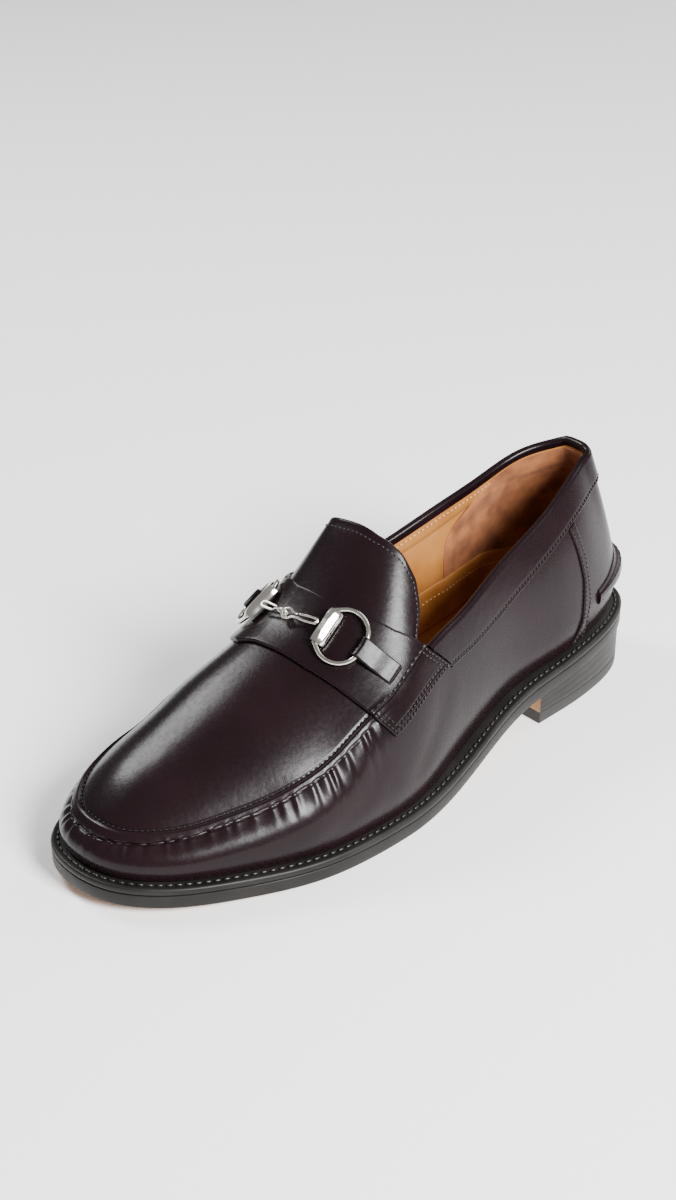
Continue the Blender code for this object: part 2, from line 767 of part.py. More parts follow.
# Rows of the upper's wall. What lies on the wall has the same rows, so that it keeps its distance.
WALL_UPS = np.array([0, 0.07, 0.16, 0.28, 0.42, 0.60, 0.78, 0.9])
CROWN_UPS = np.array([1.12, 1.26, 1.42, 1.6, 1.8, 2.0])
# Rows over the ridge, as lengths past the shoulder
RIDGE_LENGTHS = RIDGE_WIDTH * np.array([-0.24, 0.40, 0.74, 1.08])


def ring_shares():
    """Round shares of the upper's columns on one side, close together where the outline is round."""
    back = np.linspace(0, 0.20, 12)
    waist = np.linspace(0.20, THROAT, 12)
    vamp = np.linspace(THROAT, 0.84, 9)
    toe = np.linspace(0.84, 1, 9)
    return np.unique(np.round(np.r_[back, waist, vamp, toe], 6))


def build_upper(calf):
    """The upper as one open shell: a wall all round, and the vamp from the throat to the toe."""
    shares = ring_shares()
    middle = len(shares) - 1
    around = np.r_[-shares[::-1], shares[1:-1]]
    columns = []
    for share in around:
        vamp = ease(THROAT - 0.03, THROAT, abs(share))
        past = up_at(share, RIDGE_LENGTHS)
        below = past[0] * vamp + 0.96 * (1 - vamp)
        columns.append(np.r_[WALL_UPS, below, SHOULDER, past[1:], CROWN_UPS[1:]])
    ups = np.array(columns)
    shares_grid = np.repeat(around[:, None], ups.shape[1], axis=1)
    outer = skin(shares_grid, ups)
    inner = skin(shares_grid, ups, -wall_at(shares_grid, ups))
    # At the feather the inner face stands level with the outer one.
    inward = -look_up(SKIN_NORMALS, around, 0.0)[:, :2]
    inward /= np.linalg.norm(inward, axis=1)[:, None]
    inner[:, 0, :2] = outer[:, 0, :2] + inward * WALL
    inner[:, 0, 2] = outer[:, 0, 2]
    rows, count = ups.shape
    ids = np.arange(rows * count).reshape(rows, count)
    # Both sides meet on the spine.
    for step in range(1, middle):
        ids[middle - step, -1] = ids[middle + step, -1]
    rim = len(WALL_UPS) + 2
    cells = grid_cells(rows, rim, ids[:, :rim], around=True)
    vamp = [row for row in range(rows) if abs(around[row]) >= THROAT - 1e-6]
    for row in vamp:
        after = (row + 1) % rows
        if after not in vamp:
            continue
        cells += grid_cells(2, count - rim + 1, ids[[row, after], rim - 1 :])
    add_sheet("upper", outer, inner, calf, cells)


def over_spine(ups, rear, front, steps):
    """Round shares and ups of a grid that crosses the crown from the lateral to the medial side."""
    shares, grids = [], []
    for side in (1, -1):
        low, high = line_at(rear[side], ups[side]), line_at(front[side], ups[side])
        share = np.linspace(0, 1, steps)[:, None]
        shares.append(side * (low + (high - low) * share))
        grids.append(np.repeat(ups[side][None], steps, axis=0))
    # Both sides end on the spine, which the grid needs once.
    order = slice(-2, None, -1)
    return np.hstack([shares[0], shares[1][:, order]]), np.hstack([grids[0], grids[1][:, order]])


def build_tongue(calf):
    """The tongue, butted against the vamp under the strap and running up past it."""
    ups = np.r_[float(up_at(THROAT, TONGUE_CLEARANCE)), CROWN_UPS]
    butt = ((0, THROAT - share_gap(SEAM_GAP)), (SPINE, THROAT - share_gap(SEAM_GAP)))
    both = {1: ups, -1: ups}
    shares, grid = over_spine(both, TONGUE_END, {1: butt, -1: butt}, 9)
    add_sheet("tongue", skin(shares, grid), skin(shares, grid, -WALL), calf)


def build_strap(calf):
    """The saddle strap over the tongue, and a wing below it on each side."""
    # The medial end reaches down over the moccasin seam, and follows its ridge.
    over_ridge = up_at(-THROAT, RIDGE_LENGTHS[:4])
    ups = {1: np.r_[STRAP_FOOT[1], CROWN_UPS], -1: np.r_[STRAP_FOOT[-1], over_ridge, CROWN_UPS]}
    shares, grid = over_spine(ups, STRAP_REAR, STRAP_FRONT, 7)
    top = STRAP_LIFT + STRAP_THICKNESS
    add_sheet("saddle_strap", skin(shares, grid, top), skin(shares, grid, STRAP_LIFT), calf)
    for side, name in ((1, "saddle_wing_lateral"), (-1, "saddle_wing_medial")):
        head = STRAP_FOOT[side] - WING_GAP
        rows = WALL_UPS[(WALL_UPS > WING_FOOT[side]) & (WALL_UPS < head)]
        ups = np.r_[WING_FOOT[side], rows, head]
        shares, grid = side_grid(side, ups, STRAP_REAR[side], STRAP_FRONT[side], 7)
        add_sheet(name, skin(shares, grid, top), skin(shares, grid, STRAP_LIFT), calf)


def side_grid(side, ups, rear, front, steps):
    """Round shares and ups of a patch on one side between two lines."""
    low, high = line_at(rear, ups), line_at(front, ups)
    if side < 0:
        low, high = -high, -low
    share = np.linspace(0, 1, steps)[:, None]
    return low + (high - low) * share, np.repeat(np.asarray(ups)[None], steps, axis=0)


def build_collar_band(calf):
    """The band folded over the rim of the quarters: a leg outside, the rim and a leg inside."""
    rim = RIM_WALL + SEAM_GAP
    outer_lift = SEAM_GAP + OVERLAY_THICKNESS
    inner_lift = -(rim + OVERLAY_THICKNESS)
    lining_lift = -(WALL + SEAM_GAP + OVERLAY_THICKNESS)
    # height over the rim, outer lift, height over the rim of the inner face, inner lift
    profile = (
        (-BAND_WIDTH, outer_lift, -BAND_WIDTH, SEAM_GAP),
        (-BAND_WIDTH / 2, outer_lift, -BAND_WIDTH / 2, SEAM_GAP),
        (-0.0012, outer_lift, -0.0012, SEAM_GAP),
        (RIM_RISE * 0.6, outer_lift * 0.75, SEAM_GAP, SEAM_GAP),
        (RIM_RISE, (outer_lift + inner_lift) / 2, SEAM_GAP * 1.2, (SEAM_GAP - rim) / 2),
        (RIM_RISE * 0.6, inner_lift * 0.85, SEAM_GAP, -rim),
        (-0.0012, inner_lift, -0.0012, -rim - 0.0001),
        (-BAND_LINING_DEPTH, lining_lift, -BAND_LINING_DEPTH, lining_lift + OVERLAY_THICKNESS),
    )
    # The band's columns stand on the upper's own, so that the two stay the same distance apart.
    columns = ring_shares()
    columns = columns[columns < STRAP_REAR[-1][0][1] - share_gap(OVERLAY_THICKNESS)]
    outer, inner = [], []
    for height, lift, inner_height, inner_offset in profile:
        ends = []
        for side in (-1, 1):
            up = up_at(side * BAND_END, min(height, 0) * band_spread(BAND_END))
            ends.append(side * (line_at(STRAP_REAR[side], up) - share_gap(3 * SEAM_GAP)))
        shares = np.r_[ends[0], -columns[:0:-1], columns, ends[1]]
        outer.append(rim_point(shares, height, lift))
        inner.append(rim_point(shares, inner_height, inner_offset))
    add_sheet("collar_band", np.stack(outer, 1), np.stack(inner, 1), calf)


def band_spread(shares):
    """How much wider the collar band is than at its ends: most over the waist."""
    return 1 + BAND_SWELL * np.exp(-(((np.abs(shares) - BAND_SWELL_PLACE) / BAND_SWELL_REACH) ** 2))


def rim_point(shares, height, lift):
    """Points near the quarters' rim: a height over it along the wall's own direction, and a lift."""
    if height < 0:
        return skin(shares, up_at(shares, height * band_spread(shares)), lift)
    rim = skin(shares, SHOULDER)
    step = 0.01
    wall = rim - skin(shares, SHOULDER - step)
    wall /= np.linalg.norm(wall, axis=-1, keepdims=True)
    out = look_up(SKIN_NORMALS, shares, SHOULDER - step)
    out -= wall * np.sum(out * wall, axis=-1, keepdims=True)
    out /= np.linalg.norm(out, axis=-1, keepdims=True)
    return rim + wall * height + out * lift


def build_counter(calf):
    """A strip up each side of the heel counter, and the lip across the back of the heel."""
    ups = np.r_[0.03, WALL_UPS[1:7], 0.81]
    for side, name in ((1, "counter_strip_lateral"), (-1, "counter_strip_medial")):
        shares, grid = side_grid(side, ups, STRIP_REAR, STRIP_FRONT, 3)
        grid = np.minimum(grid, up_at(shares, -BAND_WIDTH * band_spread(shares) - 2 * SEAM_GAP))
        lift = SEAM_GAP + OVERLAY_THICKNESS
        add_sheet(name, skin(shares, grid, lift), skin(shares, grid, SEAM_GAP), calf)
    shares = np.linspace(-KICKER_END, KICKER_END, 21)[:, None]
    across = np.array([0, 0.16, 0.32, 0.46, 0.62, 0.8, 1.0])
    fade = ease(0, KICKER_END, np.abs(shares))
    low = KICKER_BACK[0] + (KICKER_TIP[0] - KICKER_BACK[0]) * fade
    high = KICKER_BACK[1] + (KICKER_TIP[1] - KICKER_BACK[1]) * fade
    ups = low + (high - low) * across
    swell = np.interp(across, (0, 0.16, 0.32, 0.46, 0.62, 0.8, 1), (0, 0.45, 0.95, 0.9, 0.5, 0.2, 0))
    lift = SEAM_GAP + OVERLAY_THICKNESS * 0.6 + KICKER_REACH * swell * (1 - 0.85 * fade)
    shares = np.repeat(shares, len(across), axis=1)
    add_sheet("heel_kicker", skin(shares, ups, lift), skin(shares, ups, SEAM_GAP), calf)


# Bit and keepers


def strap_point(side, place, height):
    """A point over the strap: place is an up coordinate and a share of the strap's width from its rear."""
    up, across = place
    rear, front = line_at(STRAP_REAR[side], up), line_at(STRAP_FRONT[side], up)
    share = side * (rear + (front - rear) * across)
    return skin(share, up, STRAP_LIFT + STRAP_THICKNESS + height), look_up(SKIN_NORMALS, share, up)


def bit_frame(side):
    """Directions at the cheek: down to the ring's round side, along to the toe, and outward."""
    height = 3 * SEAM_GAP + KEEPER_THICKNESS + RING_WIRE / 2
    origin, outward = strap_point(side, CHEEK_PLACE[side], height)
    down = strap_point(side, RING_PLACE[side], height)[0] - origin
    down /= np.linalg.norm(down)
    outward = outward - down * np.dot(down, outward)
    outward /= np.linalg.norm(outward)
    toe = np.cross(down, outward) * side
    return lambda a, b, c: origin + down * a + toe * b + outward * c


def build_bit(metal, calf):
    """Snaffle bit: a ring and cheek on each side, and two links whose eyes hook into each other."""
    wire = RING_WIRE / 2
    half = RING_LENGTH / 2
    for side, word in ((1, "lateral"), (-1, "medial")):
        at = bit_frame(side)
        # The ring's round side lies down the flank of the strap, and its ends meet the cheek.
        start = CHEEK_LENGTH / 2 + SEAM_GAP + 0.6 * wire
        arch = ((0.03, start), (0.25, 0.97 * half), (0.60, 0.97 * half), (0.90, 0.62 * half))
        plan = [(share * RING_WIDTH, -length) for share, length in arch]
        plan += [(RING_WIDTH, 0)]
        plan += [(share * RING_WIDTH, length) for share, length in reversed(arch)]
        ring = smooth_path([(a, b, 0) for a, b in plan], 30)
        add_tube(f"bit_ring_{word}", [at(*point) for point in ring], wire, 8, metal)
        add_cheek(f"bit_cheek_{word}", side, at, metal)
        add_link(side, word, at, metal)
        add_keeper(f"keeper_{word}", side, at, ring, calf)


def add_cheek(name, side, at, metal):
    """The cheek's barrel: a long block with a ridged back and slanting ends."""
    half, width = CHEEK_LENGTH / 2, CHEEK_WIDTH / 2
    foot = -KEEPER_THICKNESS - RING_WIRE / 2 + CHEEK_LIFT
    # The profile across the block, from its lower outer edge over the ridge
    profile = (
        (width, foot),
        (width, foot + CHEEK_HEIGHT * 0.45),
        (width * 0.55, foot + CHEEK_HEIGHT * 0.86),
        (-width * 0.10, foot + CHEEK_HEIGHT),
        (-width * 0.75, foot + CHEEK_HEIGHT * 0.8),
        (-width, foot + CHEEK_HEIGHT * 0.35),
        (-width, foot),
    )
    lengths = (-1.0, -0.93, -0.5, 0.0, 0.5, 0.93, 1.0)
    scales = (0.86, 0.97, 1.0, 1.0, 1.0, 0.97, 0.86)
    rings = []
    for length, scale in zip(lengths, scales):
        # The medial cheek is the mirror image, so its rings run the other way.
        length *= side
        rings.append([at(a * scale, length * half, foot + (c - foot) * scale) for a, c in profile])
    points = np.array(rings).reshape(-1, 3)
    sides = len(profile)
    faces = []
    for ring in range(len(lengths) - 1):
        for k in range(sides):
            after = (k + 1) % sides
            near, far = ring * sides, (ring + 1) * sides
            faces.append((near + k, near + after, far + after, far + k))
    faces.append(tuple(reversed(range(sides))))
    faces.append(tuple(range((len(lengths) - 1) * sides, len(lengths) * sides)))
    add_object(name, points, faces, metal)


def add_link(side, word, at, metal):
    """A hairpin of wire from the cheek, whose end turns into an eye at the middle of the shoe."""
    wire = LINK_WIRE / 2
    middle, out = strap_point(1, EYE_PLACE, EYE_RADIUS + wire + 2 * SEAM_GAP)
    mouth = at(-(CHEEK_WIDTH / 2 + SEAM_GAP + wire), 0, 0)
    toward = mouth - middle
    toward /= np.linalg.norm(toward)
    flat = np.cross(out, toward) * side
    flat /= np.linalg.norm(flat)
    # The lateral eye lies flat and the medial one stands on edge, each through the other.
    plane = flat if side > 0 else np.cross(toward, flat)
    eye = middle + toward * (EYE_RADIUS - wire) / 2
    turns = np.radians(np.linspace(40, 320, 14))
    loop = [eye + EYE_RADIUS * (np.cos(turn) * toward + np.sin(turn) * plane) for turn in turns]
    neck = eye + toward * (EYE_RADIUS + 1.4 * LINK_WIRE)
    pinch = plane * (wire + SEAM_GAP)
    spread = flat * LINK_WIDTH / 2
    route = [neck + pinch] + loop + [neck - pinch]
    for length, share in ((1.6, -0.66), (3.0, -0.88)):
        route.append(neck + toward * length * LINK_WIRE + spread * share)
    # The hairpin's legs run side by side and turn round in a half circle at the cheek.
    half = 0.88 * LINK_WIDTH / 2
    for turn in np.radians((-90, -45, 0, 45, 90)):
        route.append(mouth + toward * half * (math.cos(turn) - 1) + flat * half * math.sin(turn))
    for length, share in ((3.0, 0.88), (1.5, 0.80)):
        route.append(neck + toward * length * LINK_WIRE + spread * share)
    add_tube(f"bit_link_{word}", smooth_path(route, 44), wire, 6, metal)


def add_keeper(name, side, at, ring, calf):
    """A leather tab that folds round the ring's outer side and runs down into the strap."""
    inner = RING_WIRE / 2 + SEAM_GAP
    outer = inner + KEEPER_THICKNESS
    origin = at(0, 0, 0)
    down, toe, out = at(1, 0, 0) - origin, at(0, 1, 0) - origin, at(0, 0, 1) - origin
    outer_rows, inner_rows = [], []
    middle = ring[len(ring) // 4 : -len(ring) // 4]

    def tail_foot(share):
        """Foot of the tail on the strap at a share of its way from the ring's place to the slot."""
        place = [a + (b - a) * share for a, b in zip(RING_PLACE[side], SLOT_PLACE[side])]
        raised = (inner + 3 * SEAM_GAP) * (1 - ease(0.1, 0.8, share)) + 2.5 * SEAM_GAP
        return strap_point(side, place, float(raised))

    # The tail starts on the strap where it is clear of the ring.
    start = 0.3
    while start < 0.9 and (tail_foot(start)[0] - at(RING_WIDTH, 0, 0)) @ down < outer + SEAM_GAP:
        start += 0.02
    for width in np.linspace(-KEEPER_WIDTH / 2, KEEPER_WIDTH / 2, 5):
        # Each row follows the ring where it passes.
        centre = np.interp(width, middle[:, 1], middle[:, 0])
        tail = []
        for part in (0, 0.43, 0.79, 1.0):
            foot, outward = tail_foot(start + (1 - start) * part)
            tail.append((foot + toe * width, outward))
        # The fold leaves the ring where its tangent meets the tail, wherever that lies.
        ahead = tail[0][0] - at(centre, width, 0)
        run, rise = ahead @ down, ahead @ out
        leave = math.atan2(rise, run) + math.acos(inner / math.hypot(run, rise))
        turns = np.linspace(KEEPER_START, min(leave, math.pi / 2), 6)
        rows = []
        for radius in (outer, inner):
            rows.append([at(centre + radius * math.cos(t), width, radius * math.sin(t)) for t in turns])
        rows[0] += [foot + outward * KEEPER_THICKNESS for foot, outward in tail]
        rows[1] += [foot for foot, _ in tail]
        outer_rows.append(rows[0])
        inner_rows.append(rows[1])
    order = -side
    add_sheet(name, np.array(outer_rows)[::order], np.array(inner_rows)[::order], calf)


def main():
    for leftover in list(bpy.data.objects):
        bpy.data.objects.remove(leftover, do_unlink=True)
    calf = material("polished calf", (0.030, 0.014, 0.017), 0.28)
    edge = material("dressed sole edge", (0.025, 0.023, 0.020), 0.45)
    leather = material("stacked heel leather", (0.028, 0.025, 0.021), 0.45)
    rubber = material("top lift rubber", (0.020, 0.020, 0.020), 0.75)
    lining = material("lining calf", (0.42, 0.19, 0.07), 0.55)
    metal = material("polished nickel", (0.80, 0.78, 0.74), 0.15, 1.0)
    build_sole(leather, edge, rubber, lining)
    build_upper(calf)
    build_tongue(calf)
    build_strap(calf)
    build_collar_band(calf)
    build_counter(calf)
    build_bit(metal, calf)


main()
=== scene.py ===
"""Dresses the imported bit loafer: calf upper with its stitching, lining, welted sole, nickel bit, studio.

Metres, +Z up, the toe along -Y, the outer side of the left foot along +X, as in the part itself.
"""

import math

import bmesh
import bpy
import numpy as np
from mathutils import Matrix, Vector


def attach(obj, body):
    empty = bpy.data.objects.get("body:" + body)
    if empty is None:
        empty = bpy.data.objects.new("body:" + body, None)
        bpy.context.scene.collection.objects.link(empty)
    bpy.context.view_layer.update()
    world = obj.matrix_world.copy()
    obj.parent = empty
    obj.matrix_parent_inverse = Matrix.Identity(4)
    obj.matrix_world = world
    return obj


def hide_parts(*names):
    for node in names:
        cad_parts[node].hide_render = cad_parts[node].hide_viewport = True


bl_info = {
    "name": "Bit loafer",
    "version": (1, 0, 0),
    "blender": (4, 5, 0),
    "location": "View3D > Sidebar > Loafer",
    "description": "Builds the leather, stitches, lining, sole and bit of a loafer on its packed model",
    "category": "Object",
}

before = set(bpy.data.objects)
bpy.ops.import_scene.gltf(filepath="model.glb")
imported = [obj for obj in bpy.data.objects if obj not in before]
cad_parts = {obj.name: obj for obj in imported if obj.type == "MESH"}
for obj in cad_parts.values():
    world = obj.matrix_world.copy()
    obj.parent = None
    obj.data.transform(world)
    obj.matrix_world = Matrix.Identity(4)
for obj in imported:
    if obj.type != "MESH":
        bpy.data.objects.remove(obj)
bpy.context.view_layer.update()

# Main sizes
LENGTH = 0.296
# Length of either side of the outline, from the heel's back to the toe's tip
SIDE_LENGTH = 0.34
BALL_WIDTH = 0.106
WAIST_WIDTH = 0.062
HEEL_WIDTH = 0.064
SEAM_GAP = 0.0003

# Sole and heel
OUTSOLE_THICKNESS = 0.0058
WELT_THICKNESS = 0.0031
WELT_REACH_BALL = 0.0046
WELT_REACH_WAIST = 0.0068
WELT_REACH_HEEL = 0.0058
HEEL_LENGTH = 0.0757
HEEL_FRONT_HEIGHT = 0.0140
SEAT_RISE = 0.0078
HEEL_TAPER = 0.0008
TOP_LIFT_THICKNESS = 0.0055
TOE_SPRING = 0.0050
INSOLE_THICKNESS = 0.0055
INSOLE_SPAN = (0.0295, 0.9775)
EDGE_BEVEL = 0.0007

# Upper
WALL = 0.0018
RIM_WALL = 0.0010
TOE_HEIGHT = 0.0150
INSTEP_HEIGHT = 0.0620
COLLAR_HEIGHT = 0.0760
SWELL = 0.0018
LEAN = 0.0100
SPINE_OFFSET = 0.0120
SWELL_HEIGHT = 0.0140
SEAM_RIDGE = 0.0013
RIDGE_WIDTH = 0.0050

# Overlays, tongue and strap
OVERLAY_THICKNESS = 0.0009
STRAP_THICKNESS = 0.0016
STRAP_LIFT = 0.00045
BAND_WIDTH = 0.0140
BAND_LINING_DEPTH = 0.0080
RIM_RISE = 0.0014
TONGUE_CLEARANCE = 0.0020
TONGUE_CALF = 0.0010
WING_THICKNESS = 0.8 * STRAP_THICKNESS
COUNTER_LIFT = 0.00005
KICKER_REACH = 0.0038

# Bit
RING_WIRE = 0.0019
RING_LENGTH = 0.0226
RING_WIDTH = 0.0168
CHEEK_LENGTH = 0.0156
CHEEK_WIDTH = 0.0068
CHEEK_HEIGHT = 0.0042
CHEEK_LIFT = 0.0005
LINK_WIRE = 0.0011
LINK_WIDTH = 0.0025
EYE_RADIUS = 0.0023
KEEPER_WIDTH = 0.0092
KEEPER_THICKNESS = 0.0011
# Where the keeper's fold starts under the ring and ends over it, as angles from the way down the strap
KEEPER_START = math.radians(250)
KEEPER_END = math.radians(80)

SIDE_NAMES = {1: "lateral", -1: "medial"}

# Outline of the outsole. Station is the share of the length from the back of the heel, and each
# side's reach from the centre line is a share of the named width.
OUTLINE = (
    # station, width, lateral, medial
    (0.012, "heel", 0.233, 0.284),
    (0.06, "heel", 0.411, 0.416),
    (0.13, "heel", 0.497, 0.505),
    (0.20, "heel", 0.530, 0.475),
    (0.30, "waist", 0.574, 0.427),
    (0.42, "waist", 0.705, 0.490),
    (0.54, "ball", 0.486, 0.413),
    (0.65, "ball", 0.500, 0.484),
    (0.75, "ball", 0.467, 0.501),
    (0.85, "ball", 0.365, 0.469),
    (0.93, "ball", 0.249, 0.392),
    (0.985, "ball", 0.086, 0.262),
)
HEEL_POINT = -0.028
TOE_POINT = -0.098

# Places along the shoe, as shares of the length from the back of the heel
WAIST_END = 0.585
SPRING_START = 0.635
TOE_PIVOT = 0.875
HEEL_MIDDLE = 0.125

# The wall of the upper, from the feather line at the welt to its shoulder, which is the moccasin seam
# on the vamp and the topline on the quarters. Bulge is how far it swells past the feather, as a share
# of SWELL. Lean is how far the shoulder stands in from the feather, or out past it below zero, as a
# share of LEAN. The shoulder's height is a share of the size named in the row.
WALL_ROWS = (
    # station, size, lateral bulge, lean, height, medial bulge, lean, height
    (0.00, "collar", 1.10, 1.36, 0.975, 1.10, 1.36, 0.975),
    (0.06, "collar", 1.00, 1.48, 0.965, 1.10, 0.86, 0.965),
    (0.13, "collar", 1.15, 1.34, 0.940, 1.40, 0.50, 0.940),
    (0.20, "collar", 1.20, 1.08, 0.870, 2.00, 0.10, 0.900),
    (0.30, "collar", 1.00, 0.85, 0.765, 3.00, -0.45, 0.860),
    (0.40, "collar", 0.85, 0.80, 0.725, 3.60, -0.60, 0.815),
    (0.50, "collar", 0.85, 0.90, 0.730, 2.50, -0.05, 0.785),
    (0.58, "instep", 0.85, 0.80, 0.760, 1.70, 0.40, 0.785),
    (0.63, "instep", 0.90, 0.75, 0.680, 1.45, 0.55, 0.680),
    (0.69, "instep", 1.00, 0.70, 0.540, 1.35, 0.62, 0.560),
    (0.75, "instep", 1.00, 0.68, 0.440, 1.20, 0.66, 0.480),
    (0.80, "instep", 0.90, 0.68, 0.365, 1.00, 0.68, 0.400),
    (0.85, "toe", 0.80, 0.66, 1.270, 0.80, 0.58, 1.480),
    (0.90, "toe", 0.70, 0.63, 1.060, 0.70, 0.50, 1.280),
    (0.94, "toe", 0.60, 0.62, 0.970, 0.60, 0.50, 1.130),
    (1.00, "toe", 0.45, 0.57, 0.900, 0.45, 0.57, 0.900),
)

# The spine is the top line of the vamp and tongue. It lies to the medial side by a share of
# SPINE_OFFSET, and its height over the welt is a share of the instep height. Roundness is the power
# with which the crown falls towards the shoulder.
SPINE_ROWS = (
    # station, offset, height, roundness
    (0.47, 1.36, 1.70, 2.2),
    (0.503, 1.36, 1.58, 2.2),
    (0.55, 1.26, 1.375, 2.1),
    (0.587, 1.20, 1.22, 2.1),
    (0.615, 1.15, 1.12, 2.1),
    (0.67, 1.08, 1.00, 2.1),
    (0.72, 1.08, 0.90, 2.2),
    (0.77, 1.08, 0.79, 2.3),
    (0.82, 1.08, 0.67, 2.3),
    (0.87, 1.08, 0.55, 2.3),
    (0.92, 1.04, 0.45, 2.3),
)


def ease(start, end, value):
    """0 before start, 1 after end, and a smooth step between."""
    share = np.clip((np.asarray(value, float) - start) / (end - start), 0, 1)
    return share * share * (3 - 2 * share)


def bell(value, middle, width):
    """1 at the middle, and a smooth fall to nothing at about twice the width to either side."""
    return np.exp(-(((value - middle) / width) ** 2))


def unit(vectors):
    """Vectors along the last axis, with length 1."""
    return vectors / np.linalg.norm(vectors, axis=-1, keepdims=True)


def run_lengths(points, power=1.0):
    """How far each point lies along a line. A power below 1 counts its short steps for more."""
    return np.r_[0, np.cumsum(np.linalg.norm(np.diff(points, axis=0), axis=1) ** power)]


def points_at(lengths, arc, points):
    """Points at lengths along a line whose own points lie at the lengths in arc."""
    return np.stack([np.interp(lengths, arc, column) for column in points.T], -1)


def spline(knots, values, at):
    """A natural cubic spline through values at the knots. Values may have several columns."""
    knots = np.asarray(knots, float)
    values = np.asarray(values, float)
    at = np.atleast_1d(np.asarray(at, float))
    count = len(knots)
    gaps = np.diff(knots)
    matrix = np.zeros((count, count))
    matrix[0, 0] = matrix[-1, -1] = 1
    right = np.zeros(values.shape)
    slopes = np.diff(values, axis=0) / gaps.reshape((-1,) + (1,) * (values.ndim - 1))
    for row in range(1, count - 1):
        matrix[row, row - 1] = gaps[row - 1]
        matrix[row, row] = 2 * (gaps[row - 1] + gaps[row])
        matrix[row, row + 1] = gaps[row]
        right[row] = 6 * (slopes[row] - slopes[row - 1])
    bends = np.linalg.solve(matrix, right)
    cell = np.clip(np.searchsorted(knots, at, side="right") - 1, 0, count - 2)
    gap = gaps[cell]
    after = (at - knots[cell]) / gap
    before = 1 - after
    shape = (-1,) + (1,) * (values.ndim - 1)
    after, before, gap = after.reshape(shape), before.reshape(shape), gap.reshape(shape)
    return (
        before * values[cell]
        + after * values[cell + 1]
        + ((before**3 - before) * bends[cell] + (after**3 - after) * bends[cell + 1]) * gap**2 / 6
    )


def station_of(y):
    """Share of the length from the back of the heel."""
    return 0.5 - np.asarray(y) / LENGTH


def y_of(station):
    """Place along Y of a station."""
    return LENGTH * (0.5 - np.asarray(station))


def closed_outline(count):
    """The outsole's outline: points from the heel's back, along the lateral side to the toe and back."""
    widths = {"heel": HEEL_WIDTH, "waist": WAIST_WIDTH, "ball": BALL_WIDTH}
    points = [(HEEL_POINT * HEEL_WIDTH, y_of(0))]
    points += [(lateral * widths[width], y_of(station)) for station, width, lateral, _ in OUTLINE]
    points += [(TOE_POINT * BALL_WIDTH, y_of(1))]
    points += [
        (-medial * widths[width], y_of(station)) for station, width, _, medial in reversed(OUTLINE)
    ]
    points = np.array(points)
    # Three laps, so that the middle one is smooth where it closes.
    laps = np.vstack([points, points, points, points[:1]])
    knots = run_lengths(laps, 0.5)
    first, last = knots[len(points)], knots[2 * len(points)]
    return spline(knots, laps, first + (last - first) * np.arange(count) / count)


OUTLINE_POINTS = closed_outline(1600)


def side_curve(side):
    """One side of the outline from the heel's back to the toe's tip: points, inward normals, arc shares."""
    before = np.roll(OUTLINE_POINTS, 1, axis=0)
    after = np.roll(OUTLINE_POINTS, -1, axis=0)
    tangent = unit(after - before)
    normals = np.stack([tangent[:, 1], -tangent[:, 0]], -1)
    start = int(OUTLINE_POINTS[:, 1].argmax())
    points = np.roll(OUTLINE_POINTS, -start, axis=0)
    normals = np.roll(normals, -start, axis=0)
    tip = int(points[:, 1].argmin())
    order = np.arange(tip + 1) if side > 0 else np.r_[0, np.arange(len(points) - 1, tip - 1, -1)]
    points, normals = points[order], normals[order]
    arc = run_lengths(points)
    return points, normals, arc / arc[-1]


SIDES = {1: side_curve(1), -1: side_curve(-1)}


def outline_at(side, share):
    """Point, inward normal and station of the outline at an arc share of one side."""
    points, normals, arc = SIDES[side]
    here = points_at(share, arc, points)
    return here, unit(points_at(share, arc, normals)), station_of(here[..., 1])


def sole_bottom(station):
    """Height of the outsole's underside: heel seat, arch, flat ball and toe spring."""
    station = np.asarray(station, float)
    breast = HEEL_LENGTH / LENGTH
    slope = SEAT_RISE / breast
    seat = HEEL_FRONT_HEIGHT + slope * (breast - station)
    span = WAIST_END - breast
    share = np.clip((station - breast) / span, 0, 1)
    arch = HEEL_FRONT_HEIGHT * (2 * share**3 - 3 * share**2 + 1)
    arch -= slope * span * (share**3 - 2 * share**2 + share)
    spring = np.clip((station - SPRING_START) / (1 - SPRING_START), 0, None)
    return np.where(station < breast, seat, arch) + TOE_SPRING * spring**2


def sole_top(station):
    """Height of the welt's upper face."""
    return sole_bottom(station) + OUTSOLE_THICKNESS + SEAM_GAP + WELT_THICKNESS


def welt_reach(station):
    """How far the sole stands out past the upper."""
    waist = 1 - ease(0.42, 0.60, station)
    heel = 1 - ease(0.12, 0.32, station)
    reach = WELT_REACH_BALL + (WELT_REACH_WAIST - WELT_REACH_BALL) * waist
    return reach + (WELT_REACH_HEEL - WELT_REACH_WAIST) * heel


# Extra lean of the rim where it turns round the back on the lateral side: amount, and the arc share
# of its place and reach
RIM_TURN_LEAN = 0.0008
RIM_TURN_PLACE = 0.042
RIM_TURN_REACH = 0.020
# The share of the lean that is reached half way up, and how much more of it at the back, where the
# counter curves in
MIDDLE_LEAN = 0.30
MIDDLE_LEAN_BACK = 0.13
# Where a section's crown has its points, as shares of the way out from the spine
CROWN_SHARES = (0.86, 0.68, 0.45, 0.22, 0.0)

SIZES = {"toe": TOE_HEIGHT, "instep": INSTEP_HEIGHT, "collar": COLLAR_HEIGHT}
WALL_TABLE = np.array(
    [
        (station, bulge * SWELL, lean * LEAN, height * SIZES[size])
        + (medial_bulge * SWELL, medial_lean * LEAN, medial_height * SIZES[size])
        for station, size, bulge, lean, height, medial_bulge, medial_lean, medial_height in WALL_ROWS
    ]
)
SPINE_TABLE = np.array(
    [
        (station, -offset * SPINE_OFFSET, height * INSTEP_HEIGHT, roundness)
        for station, offset, height, roundness in SPINE_ROWS
    ]
)


